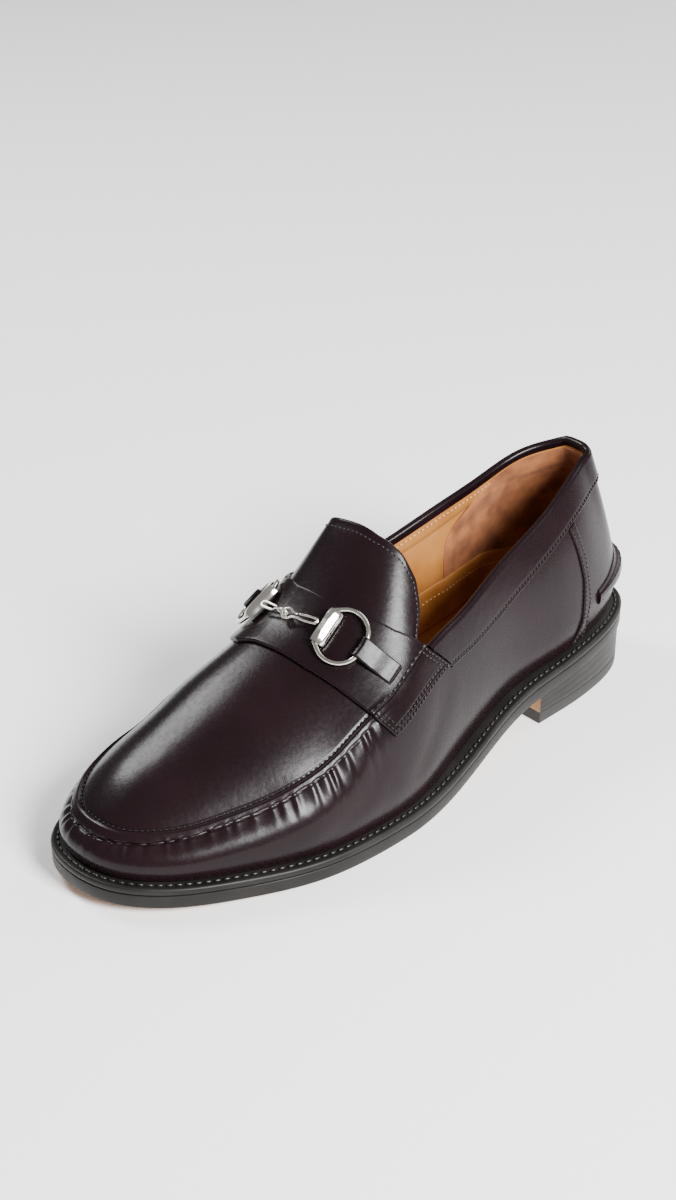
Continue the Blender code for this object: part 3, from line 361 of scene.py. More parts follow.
def wall_values(side, station):
    """Bulge, lean and shoulder height of the wall on one side at a station."""
    # The table is mirrored past both ends, which keeps the toe and the heel's back smooth.
    table = WALL_TABLE
    knots = np.r_[-table[3:0:-1, 0], table[:, 0], 2 - table[-2:-5:-1, 0]]
    rows = np.vstack([table[3:0:-1], table, table[-2:-5:-1]])
    return spline(knots, rows[:, 1:4] if side > 0 else rows[:, 4:7], [station])[0]


def spine_at(station):
    """Point of the spine, the slope of its height along Y, and the roundness."""
    station = np.clip(station, SPINE_TABLE[0, 0], SPINE_TABLE[-1, 0])
    x, height, power = spline(SPINE_TABLE[:, 0], SPINE_TABLE[:, 1:], station).T
    step = 0.004
    rise = spline(SPINE_TABLE[:, 0], SPINE_TABLE[:, 2], station + step)
    rise = rise - spline(SPINE_TABLE[:, 0], SPINE_TABLE[:, 2], station - step)
    slope = rise / (-2 * step * LENGTH)
    slope += (sole_top(station + step) - sole_top(station - step)) / (-2 * step * LENGTH)
    return x, sole_top(station) + height, slope, power


def spine_station(share):
    """Station of the spine point that a section at an arc share ends on."""
    lateral = outline_at(1, share)[2]
    medial = outline_at(-1, share)[2]
    mean = (lateral + medial) / 2
    # Ahead of the toe's pivot the sections fan out from almost one point.
    soft = 0.02
    return mean - soft * np.log1p(np.exp((mean - TOE_PIVOT) / soft))


def lean_direction(base, normal, station):
    """The way in which a wall leans: the outline's normal, and at the back towards the heel's middle."""
    toward = unit(np.array([HEEL_POINT * HEEL_WIDTH, y_of(HEEL_MIDDLE)]) - base)
    back = float(1 - ease(0.03, 0.13, station))
    return unit(normal * (1 - back) + toward * back)


def section(side, share):
    """The outer face of the upper at one arc share: a dense line from feather to spine.

    Returns the points, their arc lengths and the arc length at which the shoulder lies.
    """
    base, normal, station = outline_at(side, np.array([share]))
    base, normal, station = base[0], normal[0], float(station[0])
    bulge, lean, height = wall_values(side, station)
    if side > 0:
        lean = lean + RIM_TURN_LEAN * bell(share, RIM_TURN_PLACE, RIM_TURN_REACH)
    reach = float(welt_reach(station))
    top = float(sole_top(station)) + SEAM_GAP
    swell = min(SWELL_HEIGHT, 0.45 * height)
    middle = MIDDLE_LEAN + MIDDLE_LEAN_BACK * float(1 - ease(0.04, 0.16, station))
    wall = (
        (0, 0),
        (-0.8 * bulge, 0.5 * swell),
        (-bulge, swell),
        (-bulge + middle * (lean + bulge), swell + 0.52 * (height - swell)),
        (lean, height),
    )
    lean_way = lean_direction(base, normal, station)
    foot = base + normal * reach
    points = [np.array([*(foot + lean_way * inset), top + up]) for inset, up in wall]
    shoulder = points[-1]
    spine_share = float(spine_station(np.array([share]))[0])
    x, z, slope, power = (float(value[0]) for value in spine_at(np.array([spine_share])))
    spine = np.array([x, y_of(spine_share), z])
    # The tangent plane at the spine, with the height falling away from it.
    drop = spine[2] + slope * (shoulder[1] - spine[1]) - shoulder[2]
    for share_out in CROWN_SHARES:
        plan = spine[:2] + (shoulder[:2] - spine[:2]) * share_out
        level = spine[2] + slope * (plan[1] - spine[1]) - drop * share_out**power
        points.append(np.array([*plan, level]))
    points = np.array(points)
    knots = run_lengths(points, 0.7)
    turn = len(wall) - 1
    low = np.linspace(0, knots[turn], 81)
    high = np.linspace(knots[turn], knots[-1], 81)[1:]
    # On the vamp the wall rolls into the crown. On the quarters it runs straight up to its free rim.
    round_over = spline(knots, points, low)
    free = spline(knots[: turn + 1], points[: turn + 1], low)
    vamp = float(ease(0.50, 0.60, station))
    line = np.vstack([round_over * vamp + free * (1 - vamp), spline(knots, points, high)])
    arc = run_lengths(line)
    return line, arc, arc[len(low) - 1]


def ridge_height(past_shoulder, station):
    """The raised moccasin seam: a rounded ridge just above the shoulder line, on the vamp only."""
    across = np.clip((past_shoulder - 0.4 * RIDGE_WIDTH) / (0.7 * RIDGE_WIDTH), -1, 1)
    return SEAM_RIDGE * np.cos(across * math.pi / 2) ** 2 * ease(0.56, 0.63, station)


# The skin is the upper's outer face as one grid. Its rows run round the shoe from the toe's tip along
# the medial side to the heel, at -1 to 0, and along the lateral side back to the tip, at 0 to 1. Its
# columns run up from the feather at 0, over the shoulder at 1, to the spine at 2.
SHOULDER = 1.0
SPINE = 2.0
SKIN_ROWS = np.linspace(-1, 1, 961)
SKIN_STEPS = 80


def build_skin():
    """Points, outward normals and arc lengths past the shoulder over the whole grid."""
    rows = []
    past = []
    for round_share in SKIN_ROWS:
        line, arc, turn = section(1 if round_share >= 0 else -1, abs(round_share))
        low = np.linspace(0, turn, SKIN_STEPS + 1)
        high = np.linspace(turn, arc[-1], SKIN_STEPS + 1)[1:]
        lengths = np.r_[low, high]
        rows.append(points_at(lengths, arc, line))
        past.append(lengths - turn)
    grid, past = np.array(rows), np.array(past)
    ridge = ridge_height(past, station_of(grid[:, :1, 1]))
    grid = grid + grid_normals(grid) * ridge[..., None]
    return grid, grid_normals(grid), past


def grid_normals(grid):
    """Outward unit normals of the skin's grid, which closes on itself at the toe's tip."""
    ringed = np.concatenate([grid[-2:-1], grid, grid[1:2]])
    along = np.gradient(ringed, axis=0)[1:-1]
    up = np.gradient(grid, axis=1)
    # Near the spine the sections of the toe meet in one point, so the last columns share a direction.
    along[:, -1] = along[:, -2]
    normal = unit(np.cross(up, along))
    slope = spine_at(station_of(grid[:, -1, 1]))[2]
    normal[:, -1] = unit(np.stack([0 * slope, -slope, 0 * slope + 1], -1))
    return normal


SKIN, SKIN_NORMALS, SKIN_PAST = build_skin()


def look_up(table, round_share, up):
    """Bilinear value of a table over the skin's grid."""
    round_share, up = np.broadcast_arrays(np.asarray(round_share, float), np.asarray(up, float))
    row = (np.clip(round_share, -1, 1) + 1) / 2 * (len(SKIN_ROWS) - 1)
    column = np.clip(up, 0, SPINE) * SKIN_STEPS
    row0 = np.minimum(row.astype(int), len(SKIN_ROWS) - 2)
    column0 = np.minimum(column.astype(int), 2 * SKIN_STEPS - 1)
    r, c = row - row0, column - column0
    if table.ndim == 3:
        r, c = r[..., None], c[..., None]
    near = table[row0, column0] * (1 - c) + table[row0, column0 + 1] * c
    far = table[row0 + 1, column0] * (1 - c) + table[row0 + 1, column0 + 1] * c
    return near * (1 - r) + far * r


def skin(round_share, up, lift=0.0):
    """Points of the skin, or points lifted off it along its outward normals."""
    normals = unit(look_up(SKIN_NORMALS, round_share, up))
    return look_up(SKIN, round_share, up) + normals * np.asarray(lift)[..., None]


def up_at(round_share, length):
    """The skin's up coordinate at an arc length past the shoulder, or before it below zero."""
    length = np.asarray(length, float)
    wall = -look_up(SKIN_PAST, round_share, 0.0)
    crown = look_up(SKIN_PAST, round_share, SPINE)
    return SHOULDER + np.where(length < 0, length / wall, length / crown)


# Lines on the skin, as up coordinates with the round share of each. Lateral is side 1.
THROAT = 0.575
STRAP_FRONT = {
    1: ((0.78, 0.570), (1.04, 0.590), (1.28, 0.605), (1.60, 0.624), (2.00, 0.640)),
    -1: ((0.66, 0.558), (0.92, 0.580), (1.25, 0.613), (1.60, 0.642), (1.80, 0.648), (2.00, 0.640)),
}
STRAP_REAR = {
    1: ((0.78, 0.448), (1.04, 0.480), (1.28, 0.514), (1.48, 0.535), (1.70, 0.554), (2.00, 0.562)),
    -1: ((0.66, 0.432), (0.92, 0.462), (1.24, 0.508), (1.48, 0.535), (1.70, 0.554), (2.00, 0.562)),
}
STRAP_FOOT = {1: 1.04, -1: 0.92}
WING_FOOT = {1: 0.78, -1: 0.66}
TONGUE_END = {
    1: (
        (1.03, 0.500),
        (1.12, 0.484),
        (1.22, 0.466),
        (1.36, 0.457),
        (1.51, 0.461),
        (1.72, 0.478),
        (2.00, 0.493),
    ),
    -1: (
        (1.03, 0.500),
        (1.12, 0.484),
        (1.22, 0.466),
        (1.36, 0.457),
        (1.51, 0.463),
        (1.70, 0.480),
        (1.80, 0.4873),
        (1.90, 0.4919),
        (2.00, 0.493),
    ),
}
STRIP_FRONT = ((0.03, 0.203), (0.18, 0.188), (0.42, 0.182), (0.63, 0.188), (0.80, 0.195))
STRIP_REAR = ((0.03, 0.182), (0.15, 0.177), (0.28, 0.170), (0.56, 0.173), (0.80, 0.182))
BAND_END = 0.460
BAND_SWELL = 0.20
BAND_SWELL_PLACE = 0.32
BAND_SWELL_REACH = 0.08
KICKER_END = 0.148
KICKER_BACK = (0.10, 0.37)
KICKER_TIP = (0.17, 0.27)
# Places on the strap: an up coordinate and a share of the strap's width from its rear edge
CHEEK_PLACE = {1: (1.635, 0.37), -1: (1.75, 0.42)}
RING_PLACE = {1: (1.36, 0.43), -1: (1.47, 0.47)}
SLOT_PLACE = {1: (1.10, 0.49), -1: (1.15, 0.51)}
EYE_PLACE = (1.92, 0.45)


def line_at(line, up):
    """Round share of one of the lines above at an up coordinate."""
    ups, shares = np.array(line).T
    return np.interp(up, ups, shares)


def share_gap(length):
    """A length along the shoe as a round share."""
    return length / SIDE_LENGTH


def wall_at(round_share, up):
    """Thickness of the upper, which is skived towards the free rim of the quarters."""
    quarter = 1 - ease(THROAT - 0.02, THROAT, np.abs(round_share))
    return WALL - (WALL - RIM_WALL) * quarter * ease(0.80, 1.0, up)


# Relief of the upper


# The moccasin seam on the vamp: where it starts above or below the shoulder and where its plug begins,
# both in metres past the shoulder, and how strong and how long its pleats are.
SEAM_ROWS = np.array(
    [
        # round share, lower edge, upper edge, pleat height, pleat length
        (0.56, 0.0000, 0.0042, 0.00000, 0.0110),
        (0.60, 0.0000, 0.0042, 0.00040, 0.0125),
        (0.68, 0.0000, 0.0042, 0.00036, 0.0100),
        (0.74, 0.0000, 0.0042, 0.00026, 0.0045),
        (0.80, 0.0000, 0.0042, 0.00022, 0.0032),
        (0.88, -0.0007, 0.0042, 0.00022, 0.0034),
        (0.94, -0.0014, 0.0042, 0.00028, 0.0052),
        (1.00, -0.0024, 0.0042, 0.00032, 0.0065),
    ]
)
# Grooves along the seam: depth, the edge that each follows, distance past it and width
SEAM_GROOVES = (
    (0.00032, "upper", -0.0012, 0.00028),
    (0.00045, "upper", 0.0002, 0.00035),
    (0.00045, "lower", 0.0000, 0.00040),
)
PLEAT_PITCH = 0.0062
# How far the pleats pull the seam's lower edge in and out, and how far up that shows
PINCH_DEPTH = 0.00010
PINCH_WIDTH = 0.0012
RIDGE_UP = 0.0013
# The heel's lip across its width: place from its lower edge, and share of its reach
KICKER_PROFILE = (
    (0, 0),
    (0.16, 0.55),
    (0.34, 0.95),
    (0.52, 1.0),
    (0.66, 0.90),
    (0.74, 0.30),
    (0.82, 0.10),
    (1, 0),
)
# Folds of the gathered lip at the heel
GATHER_PITCH = 0.0042
GATHER_DEPTH = 0.00009
SEAM_FADE = (0.565, 0.60)

# Soft creases of the walls: side, points as round share and up coordinate, depth and width
CREASES = (
    (1, ((0.115, 0.19), (0.143, 0.17), (0.170, 0.12)), 0.0005, 0.0018),
    (-1, ((0.115, 0.19), (0.143, 0.17), (0.170, 0.12)), 0.0005, 0.0018),
    (1, ((0.47, 0.62), (0.50, 0.45), (0.53, 0.34)), 0.0005, 0.0070),
    (1, ((0.60, 0.62), (0.63, 0.44), (0.67, 0.30)), 0.0004, 0.0060),
    (-1, ((0.47, 0.60), (0.50, 0.45), (0.53, 0.34)), 0.0005, 0.0070),
    (-1, ((0.58, 0.62), (0.62, 0.44), (0.67, 0.30)), 0.0004, 0.0060),
)


def crease(shares, past, side, line, depth, width):
    """A soft trough along a line on one side of the shoe."""
    shares_along, ups = np.array(line).T
    knots = np.stack([side * shares_along * SIDE_LENGTH, look_up(SKIN_PAST, side * shares_along, ups)], -1)
    place = np.stack([shares * SIDE_LENGTH, past], -1)
    nearest = np.full(shares.shape, np.inf)
    for start, end in zip(knots[:-1], knots[1:]):
        run = end - start
        along = np.clip(((place - start) @ run) / (run @ run), 0, 1)
        nearest = np.minimum(nearest, np.linalg.norm(place - start - along[..., None] * run, axis=-1))
    return -depth * bell(nearest, 0, width)


def seam_phase(shares):
    """Phase of the pleats along the seam: whole numbers on their crests, a little uneven."""
    along = np.abs(shares) * SIDE_LENGTH / PLEAT_PITCH
    return along + 0.16 * np.sin(along * 1.7 + np.sign(shares)) + 0.10 * np.sin(along * 4.3 + 1.1)


def skin_ridge(shares, ups):
    """Height of the plain ridge that the skin itself has."""
    return ridge_height(look_up(SKIN_PAST, shares, ups), station_of(look_up(SKIN, shares, 0.0)[..., 1]))


def seam_values(shares):
    """The seam's lower edge, upper edge, pleat height and pleat length at round shares."""
    return [np.interp(np.abs(shares), SEAM_ROWS[:, 0], column) for column in SEAM_ROWS[:, 1:].T]


def relief(shares, ups):
    """Height of the leather over the plain skin: seam ridge, pleats and creases."""
    past = look_up(SKIN_PAST, shares, ups)
    plain = skin_ridge(shares, ups)
    low, high, height, length = seam_values(shares)
    show = ease(*SEAM_FADE, np.abs(shares))
    across = (past - low) / (high - low)
    body = ease(-0.04, 0.20, across) * (1 - ease(0.80, 1.0, across))
    ridge = RIDGE_UP * body * (0.86 + 0.14 * np.cos((across - 0.5) * 2.2))
    for depth, edge, past_edge, width in SEAM_GROOVES:
        ridge -= depth * bell(past, (low if edge == "lower" else high) + past_edge, width)
    wave = np.cos(2 * math.pi * seam_phase(shares))
    crest = 0.75 * wave + 0.25 * wave * np.abs(wave)
    below = np.clip(low - past, 0, None)
    fall = bell(below, 0, length) * ease(-0.0012, 0.0018, low - past + 0.0006)
    pleats = height * crest * fall
    pinch = PINCH_DEPTH * wave * bell(past, low, PINCH_WIDTH)
    total = show * (ridge + pleats + pinch) - plain
    for row in CREASES:
        total = total + crease(shares, past, *row)
    return total


def leather(shares, ups, lift=0.0):
    """Points on the upper's leather with its relief, or lifted off it."""
    return skin(shares, ups, relief(shares, ups) + np.asarray(lift))


# Meshes

# The share of a piece's thickness that is cut upright at its edge, below the rounding
CUT_SHARE = 0.30


def flesh(name, points, faces, paints, angle=40, body="root"):
    """A smooth mesh object with its sharp edges kept, riding on the shoe."""
    mesh = bpy.data.meshes.new(name)
    mesh.from_pydata(np.asarray(points, float).tolist(), [], [list(map(int, face)) for face in faces])
    mesh.validate()
    mesh.shade_smooth()
    mesh.set_sharp_from_angle(angle=math.radians(angle))
    for paint in paints if isinstance(paints, (list, tuple)) else [paints]:
        mesh.materials.append(paint)
    made = bpy.data.objects.new(name, mesh)
    bpy.context.scene.collection.objects.link(made)
    if body:
        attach(made, body)
    return made


def grid_ids(rows, columns):
    """Vertex numbers of a grid of points."""
    return np.arange(rows * columns).reshape(rows, columns)


def cells_of(ids, around=False):
    """Corner numbers of every cell of a grid of vertex numbers."""
    if around:
        ids = np.vstack([ids, ids[:1]])
    return np.stack([ids[:-1, :-1], ids[:-1, 1:], ids[1:, 1:], ids[1:, :-1]], -1).reshape(-1, 4)


def capped(ids):
    """Faces of a row of rings, closed by a cap at both ends."""
    return cells_of(np.hstack([ids, ids[:, :1]])).tolist() + [ids[0].tolist(), ids[-1][::-1].tolist()]


def sheet_faces(cells, count):
    """Both faces of a sheet of cells and the walls along its free edges."""
    edges = np.stack([cells, np.roll(cells, -1, axis=1)], -1).reshape(-1, 2)
    keys = edges[:, 0] * count + edges[:, 1]
    back = edges[:, 1] * count + edges[:, 0]
    free = edges[~np.isin(keys, back)]
    walls = np.stack([free[:, 1], free[:, 0], free[:, 0] + count, free[:, 1] + count], -1)
    return np.vstack([cells, cells[:, ::-1] + count, walls])


def sheet(name, outer, inner, paint, cells=None):
    """A closed sheet between two grids of points."""
    if cells is None:
        cells = cells_of(grid_ids(*outer.shape[:2]))
    outer, inner = outer.reshape(-1, 3), inner.reshape(-1, 3)
    faces = sheet_faces(cells, len(outer))
    points = np.vstack([outer, inner])
    used, place = np.unique(faces, return_inverse=True)
    return flesh(name, points[used], place.reshape(faces.shape), paint, 50)


def tube(name, path, radius, sides, paint):
    """A round wire along a path, with domed ends."""
    path = np.asarray(path)
    start, end = unit(path[1] - path[0]), unit(path[-1] - path[-2])
    head = [path[0] - start * radius * far for far in (0.95, 0.7)]
    tail = [path[-1] + end * radius * far for far in (0.7, 0.95)]
    radii = radius * np.r_[0.3, 0.72, np.ones(len(path)), 0.72, 0.3]
    path = np.vstack([head, path, tail])
    tangents = unit(np.gradient(path, axis=0))
    # Each ring's first direction is the last one's, turned with the wire.
    side = np.cross(tangents[0], [0.3, 0.5, 0.8])
    carried = []
    for tangent in tangents:
        side = unit(side - tangent * np.dot(side, tangent))
        carried.append(side)
    first = np.array(carried)[:, None]
    second = np.cross(tangents, carried)[:, None]
    turn = (np.arange(sides) * 2 * math.pi / sides)[:, None]
    rings = path[:, None] + radii[:, None, None] * (np.cos(turn) * first + np.sin(turn) * second)
    return outward(flesh(name, rings.reshape(-1, 3), capped(grid_ids(*rings.shape[:2])), paint, 60))


def outward(made):
    """Turns the faces of a closed mesh outwards."""
    work = bmesh.new()
    work.from_mesh(made.data)
    bmesh.ops.recalc_face_normals(work, faces=work.faces)
    work.to_mesh(made.data)
    work.free()
    return made


def dress(made, node):
    """Hides the part's own mesh of the node that a piece stands for. The piece is not used."""
    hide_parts(node)


def crowded(count, edge):
    """Shares from 0 to 1 that crowd within the share edge of both ends."""
    near = edge * np.array([0, 0.06, 0.2, 0.42, 0.7])
    return np.r_[near, np.linspace(edge, 1 - edge, count), 1 - near[::-1]]


def edge_distance(points, skip=()):
    """Distance of each point of a grid from the patch's border, measured along rows and columns."""
    found = []
    for axis, names in ((0, ("start", "end")), (1, ("foot", "head"))):
        steps = np.linalg.norm(np.diff(points, axis=axis), axis=-1)
        zero = np.zeros_like(np.take(steps, [0], axis=axis))
        run = np.concatenate([zero, np.cumsum(steps, axis=axis)], axis=axis)
        whole = np.take(run, [-1], axis=axis)
        for name, far in zip(names, (run, whole - run)):
            if name not in skip:
                found.append(far)
    return np.min(found, axis=0)


def rolled(distance, thickness, edge):
    """Height of a leather edge that is rounded over, from part of the thickness to all of it."""
    share = np.clip(1 - distance / edge, 0, 1)
    return thickness * (CUT_SHARE + (1 - CUT_SHARE) * np.sqrt(np.clip(1 - share**2, 0, 1)))


def patch(name, shares, ups, lift, thickness, paint, edge=0.0009, skip=(), base=leather):
    """A leather piece that lies on the upper, with rolled edges."""
    height = rolled(edge_distance(skin(shares, ups), skip), thickness, edge)
    return sheet(name, base(shares, ups, lift + height), base(shares, ups, lift), paint)


# Pieces of the upper

# Shares of the wall: the calf's thickness, and the depth at which the lining starts
CALF_SHARE = 0.52
LINING_SHARE = 0.62
# Stitch rows that lie in a groove: their distance from the edge of the tongue, wings and collar band
TONGUE_SEAM = 0.0026
WING_SEAMS = (0.0014, 0.0036)
BAND_SEAM = 0.0016
GROOVE_WIDTH = 0.0006
# The lining leather that is turned in under the collar band
FACING_THICKNESS = 0.0005


def upper_grid():
    """Round shares and up coordinates of the upper's fine grid, from the toe's tip all round."""
    back = np.linspace(0, THROAT, 112)
    vamp = np.linspace(THROAT, 1, 190)
    side = np.r_[back, vamp[1:]]
    around = np.r_[-side[::-1], side[1:-1]]
    wall = np.linspace(0, 1, 20)
    lengths = np.r_[np.linspace(-0.0055, 0.0062, 30), 0.0070, 0.0085]
    crown = np.linspace(0, 1, 26)[1:] ** 1.05
    columns = []
    for share in around:
        fine = up_at(share, lengths)
        columns.append(np.r_[wall * (fine[0] - 0.03), fine, fine[-1] + (SPINE - fine[-1]) * crown])
    return around, np.array(columns)


def upper_cells(around, count, rim):
    """Cells of a grid round the shoe: columns up to the rim all round, and the rest on the vamp alone.

    The grid starts at the toe's tip, and its two sides share their vertices on the spine.
    """
    ids = grid_ids(len(around), count)
    middle = len(around) // 2
    steps = np.arange(1, middle)
    ids[middle - steps, -1] = ids[middle + steps, -1]
    cells = [cells_of(ids[:, : rim + 1], True)]
    vamp = np.abs(around) >= THROAT - 1e-6
    for row in np.flatnonzero(vamp):
        after = (row + 1) % len(around)
        if vamp[after]:
            cells.append(cells_of(ids[[row, after], rim:]))
    return np.vstack(cells)


def build_upper(calf, lining):
    """The vamp and quarters in calf, and the lining inside them."""
    around, ups = upper_grid()
    # The column nearest the shoulder in a row of the quarters is moved onto it, as their rim.
    quarter = len(around) // 2 + 60
    rim = int(np.argmin(np.abs(ups[quarter] - SHOULDER)))
    ups[:, rim] = np.where(np.abs(around) < THROAT, SHOULDER, ups[:, rim])
    shares = np.repeat(around[:, None], ups.shape[1], axis=1)
    cells = upper_cells(around, ups.shape[1], rim)
    depth, ridge = wall_at(shares, ups), skin_ridge(shares, ups)
    # The calf's own inner face follows the relief, but stays outside the lining.
    top = relief(shares, ups)
    under = np.maximum(top - CALF_SHARE * depth, -((LINING_SHARE - 0.02) * depth + ridge))
    half = skin(shares, ups, np.minimum(under, top - 0.0002))
    upper = sheet("calf_upper", leather(shares, ups), half, calf, cells)
    dress(upper, "upper")
    # The lining is coarser, because it has no relief.
    around = np.linspace(-1, 1, 281)[:-1]
    wall = np.linspace(0, SHOULDER, 26)
    ups = np.r_[wall, np.linspace(SHOULDER, SPINE, 20)[1:]]
    cells = upper_cells(around, len(ups), len(wall) - 1)
    shares, ups = np.meshgrid(around, ups, indexing="ij")
    depth, ridge = wall_at(shares, ups), skin_ridge(shares, ups)
    outer, inner = skin(shares, ups, -(LINING_SHARE * depth + ridge)), skin(shares, ups, -(depth + ridge))
    dress(sheet("lining", outer, inner, lining, cells), "upper")


def build_tongue(calf, lining):
    """The tongue's calf, with its stitch groove, and the lining under it."""
    foot = float(up_at(THROAT, TONGUE_CLEARANCE))
    ups = foot + (SPINE - foot) * crowded(34, 0.05)
    butt = ((0, THROAT - share_gap(SEAM_GAP)), (SPINE, THROAT - share_gap(SEAM_GAP)))
    shares, grid = over_spine({1: ups, -1: ups}, TONGUE_END, {1: butt, -1: butt}, crowded(26, 0.05))
    distance = edge_distance(skin(shares, grid), ("end",))
    height = rolled(distance, TONGUE_CALF, 0.0009) - TONGUE_CALF
    height -= 0.00030 * bell(distance, TONGUE_SEAM, GROOVE_WIDTH)
    tongue = sheet("tongue_calf", skin(shares, grid, height), skin(shares, grid, -TONGUE_CALF), calf)
    dress(tongue, "tongue")
    under = sheet("tongue_lining", skin(shares, grid, -TONGUE_CALF), skin(shares, grid, -WALL), lining)
    dress(under, "tongue")


def over_spine(ups, rear, front, across):
    """Round shares and ups of a grid that crosses the crown from the lateral to the medial side."""
    shares, grids = [], []
    for side in (1, -1):
        low, high = line_at(rear[side], ups[side]), line_at(front[side], ups[side])
        shares.append(side * (low + (high - low) * across[:, None]))
        grids.append(np.repeat(ups[side][None], len(across), axis=0))
    order = slice(-2, None, -1)
    return np.hstack([shares[0], shares[1][:, order]]), np.hstack([grids[0], grids[1][:, order]])


def side_grid(side, ups, rear, front, across):
    """Round shares and ups of a patch on one side between two lines."""
    low, high = line_at(rear, ups), line_at(front, ups)
    if side < 0:
        low, high = -high, -low
    return low + (high - low) * across[:, None], np.repeat(np.asarray(ups)[None], len(across), axis=0)


def cord_between(points, step):
    """Evenly spaced points along a polyline."""
    points = np.asarray(points, float)
    arc = run_lengths(points)
    return points_at(np.linspace(0, arc[-1], max(2, int(arc[-1] / step))), arc, points)


def build_strap(calf):
    """The saddle strap over the instep, and the wing that it runs into on each side."""
    near_foot = np.array([0, 0.004, 0.012, 0.03])
    ups = {
        side: foot + (SPINE - foot) * np.r_[near_foot, np.linspace(0.05, 1, 60)]
        for side, foot in STRAP_FOOT.items()
    }
    shares, grid = over_spine(ups, STRAP_REAR, STRAP_FRONT, crowded(22, 0.05))
    strap = patch("strap_calf", shares, grid, STRAP_LIFT, STRAP_THICKNESS, calf, base=skin)
    dress(strap, "saddle_strap")
    for side, word in SIDE_NAMES.items():
        foot, head = WING_FOOT[side], STRAP_FOOT[side]
        ups = foot + (head - foot) * crowded(30, 0.10)
        shares, grid = side_grid(side, ups, STRAP_REAR[side], STRAP_FRONT[side], crowded(30, 0.05))
        distance = edge_distance(skin(shares, grid), ("head",))
        height = rolled(distance, WING_THICKNESS, 0.0008)
        for place in WING_SEAMS:
            height = height - 0.00026 * bell(distance, place, GROOVE_WIDTH)
        top, under = skin(shares, grid, STRAP_LIFT + height), skin(shares, grid, STRAP_LIFT * 0.4)
        wing = sheet(f"saddle_wing_{word}_calf", top, under, calf)
        dress(wing, f"saddle_wing_{word}")


def build_band(calf, lining):
    """The collar band outside and over the rim, and the lining's turned edge inside."""
    rim = RIM_WALL + SEAM_GAP
    thick = OVERLAY_THICKNESS + SEAM_GAP
    heights = -BAND_WIDTH * (1 - crowded(24, 0.06))
    lifts = rolled(BAND_WIDTH + heights, thick, 0.0008)
    lifts -= 0.00022 * bell(BAND_WIDTH + heights, BAND_SEAM, GROOVE_WIDTH)
    # Over the rim the outer face turns through a half circle.
    middle = (thick - rim - OVERLAY_THICKNESS) / 2
    reach = (thick + rim + OVERLAY_THICKNESS) / 2
    keep = heights < -0.0006
    profile = list(zip(heights[keep], lifts[keep]))
    for turn in np.linspace(0, math.pi, 12)[1:]:
        profile.append((RIM_RISE * 1.05 * math.sin(turn), middle + reach * math.cos(turn)))
    profile += [(-0.0012, -rim - OVERLAY_THICKNESS), (-0.0022, -rim - OVERLAY_THICKNESS)]
    outer, inner = [], []
    for height, lift in profile:
        low = min(height, 0)
        shares = band_shares(low * band_spread(BAND_END), share_gap(3 * SEAM_GAP))
        outer.append(rim_point(shares, height, lift))
        under = min(lift - thick * 0.9, 0.0) if lift > 0 else lift + 0.0008
        inner.append(rim_point(shares, low, under))
    band = outward(sheet("collar_band_calf", np.stack(outer, 1), np.stack(inner, 1), calf))
    dress(band, "collar_band")
    # Inner leg in lining leather, a little below the rim
    profile = [(-0.0014, -rim - 0.75 * OVERLAY_THICKNESS), (-0.0030, -rim - OVERLAY_THICKNESS)]
    profile += [(height, -(WALL + 0.0006)) for height in (-0.0045, -0.0060, -0.0080)]
    profile += [(-BAND_LINING_DEPTH - 0.0004, -(WALL + 0.0001))]
    outer, inner = [], []
    for height, lift in profile:
        shares = band_shares(height, 0.004)
        outer.append(rim_point(shares, height, lift))
        inner.append(rim_point(shares, height, lift + FACING_THICKNESS))
    inside = outward(sheet("collar_facing", np.stack(inner, 1), np.stack(outer, 1), lining))
    dress(inside, "collar_band")


def band_shares(height, gap):
    """Round shares of a line round the collar at a height, which stops a gap short of the strap."""
    columns = np.linspace(0, 1, 161)
    medial, lateral = (
        float(line_at(STRAP_REAR[side], up_at(side * BAND_END, height))) - gap for side in (-1, 1)
    )
    return np.r_[-medial * columns[:0:-1], lateral * columns]


def band_spread(shares):
    """How much wider the collar band is than at its ends: most over the waist."""
    return 1 + BAND_SWELL * bell(np.abs(shares), BAND_SWELL_PLACE, BAND_SWELL_REACH)


def rim_point(shares, height, lift):
    """Points near the quarters' rim: a height over it along the wall's own direction, and a lift."""
    if height < 0:
        return skin(shares, up_at(shares, height * band_spread(shares)), lift)
    rim = skin(shares, SHOULDER)
    below = SHOULDER - 0.01
    wall = unit(rim - skin(shares, below))
    out = look_up(SKIN_NORMALS, shares, below)
    out = unit(out - wall * np.sum(out * wall, axis=-1, keepdims=True))
    return rim + wall * height + out * lift


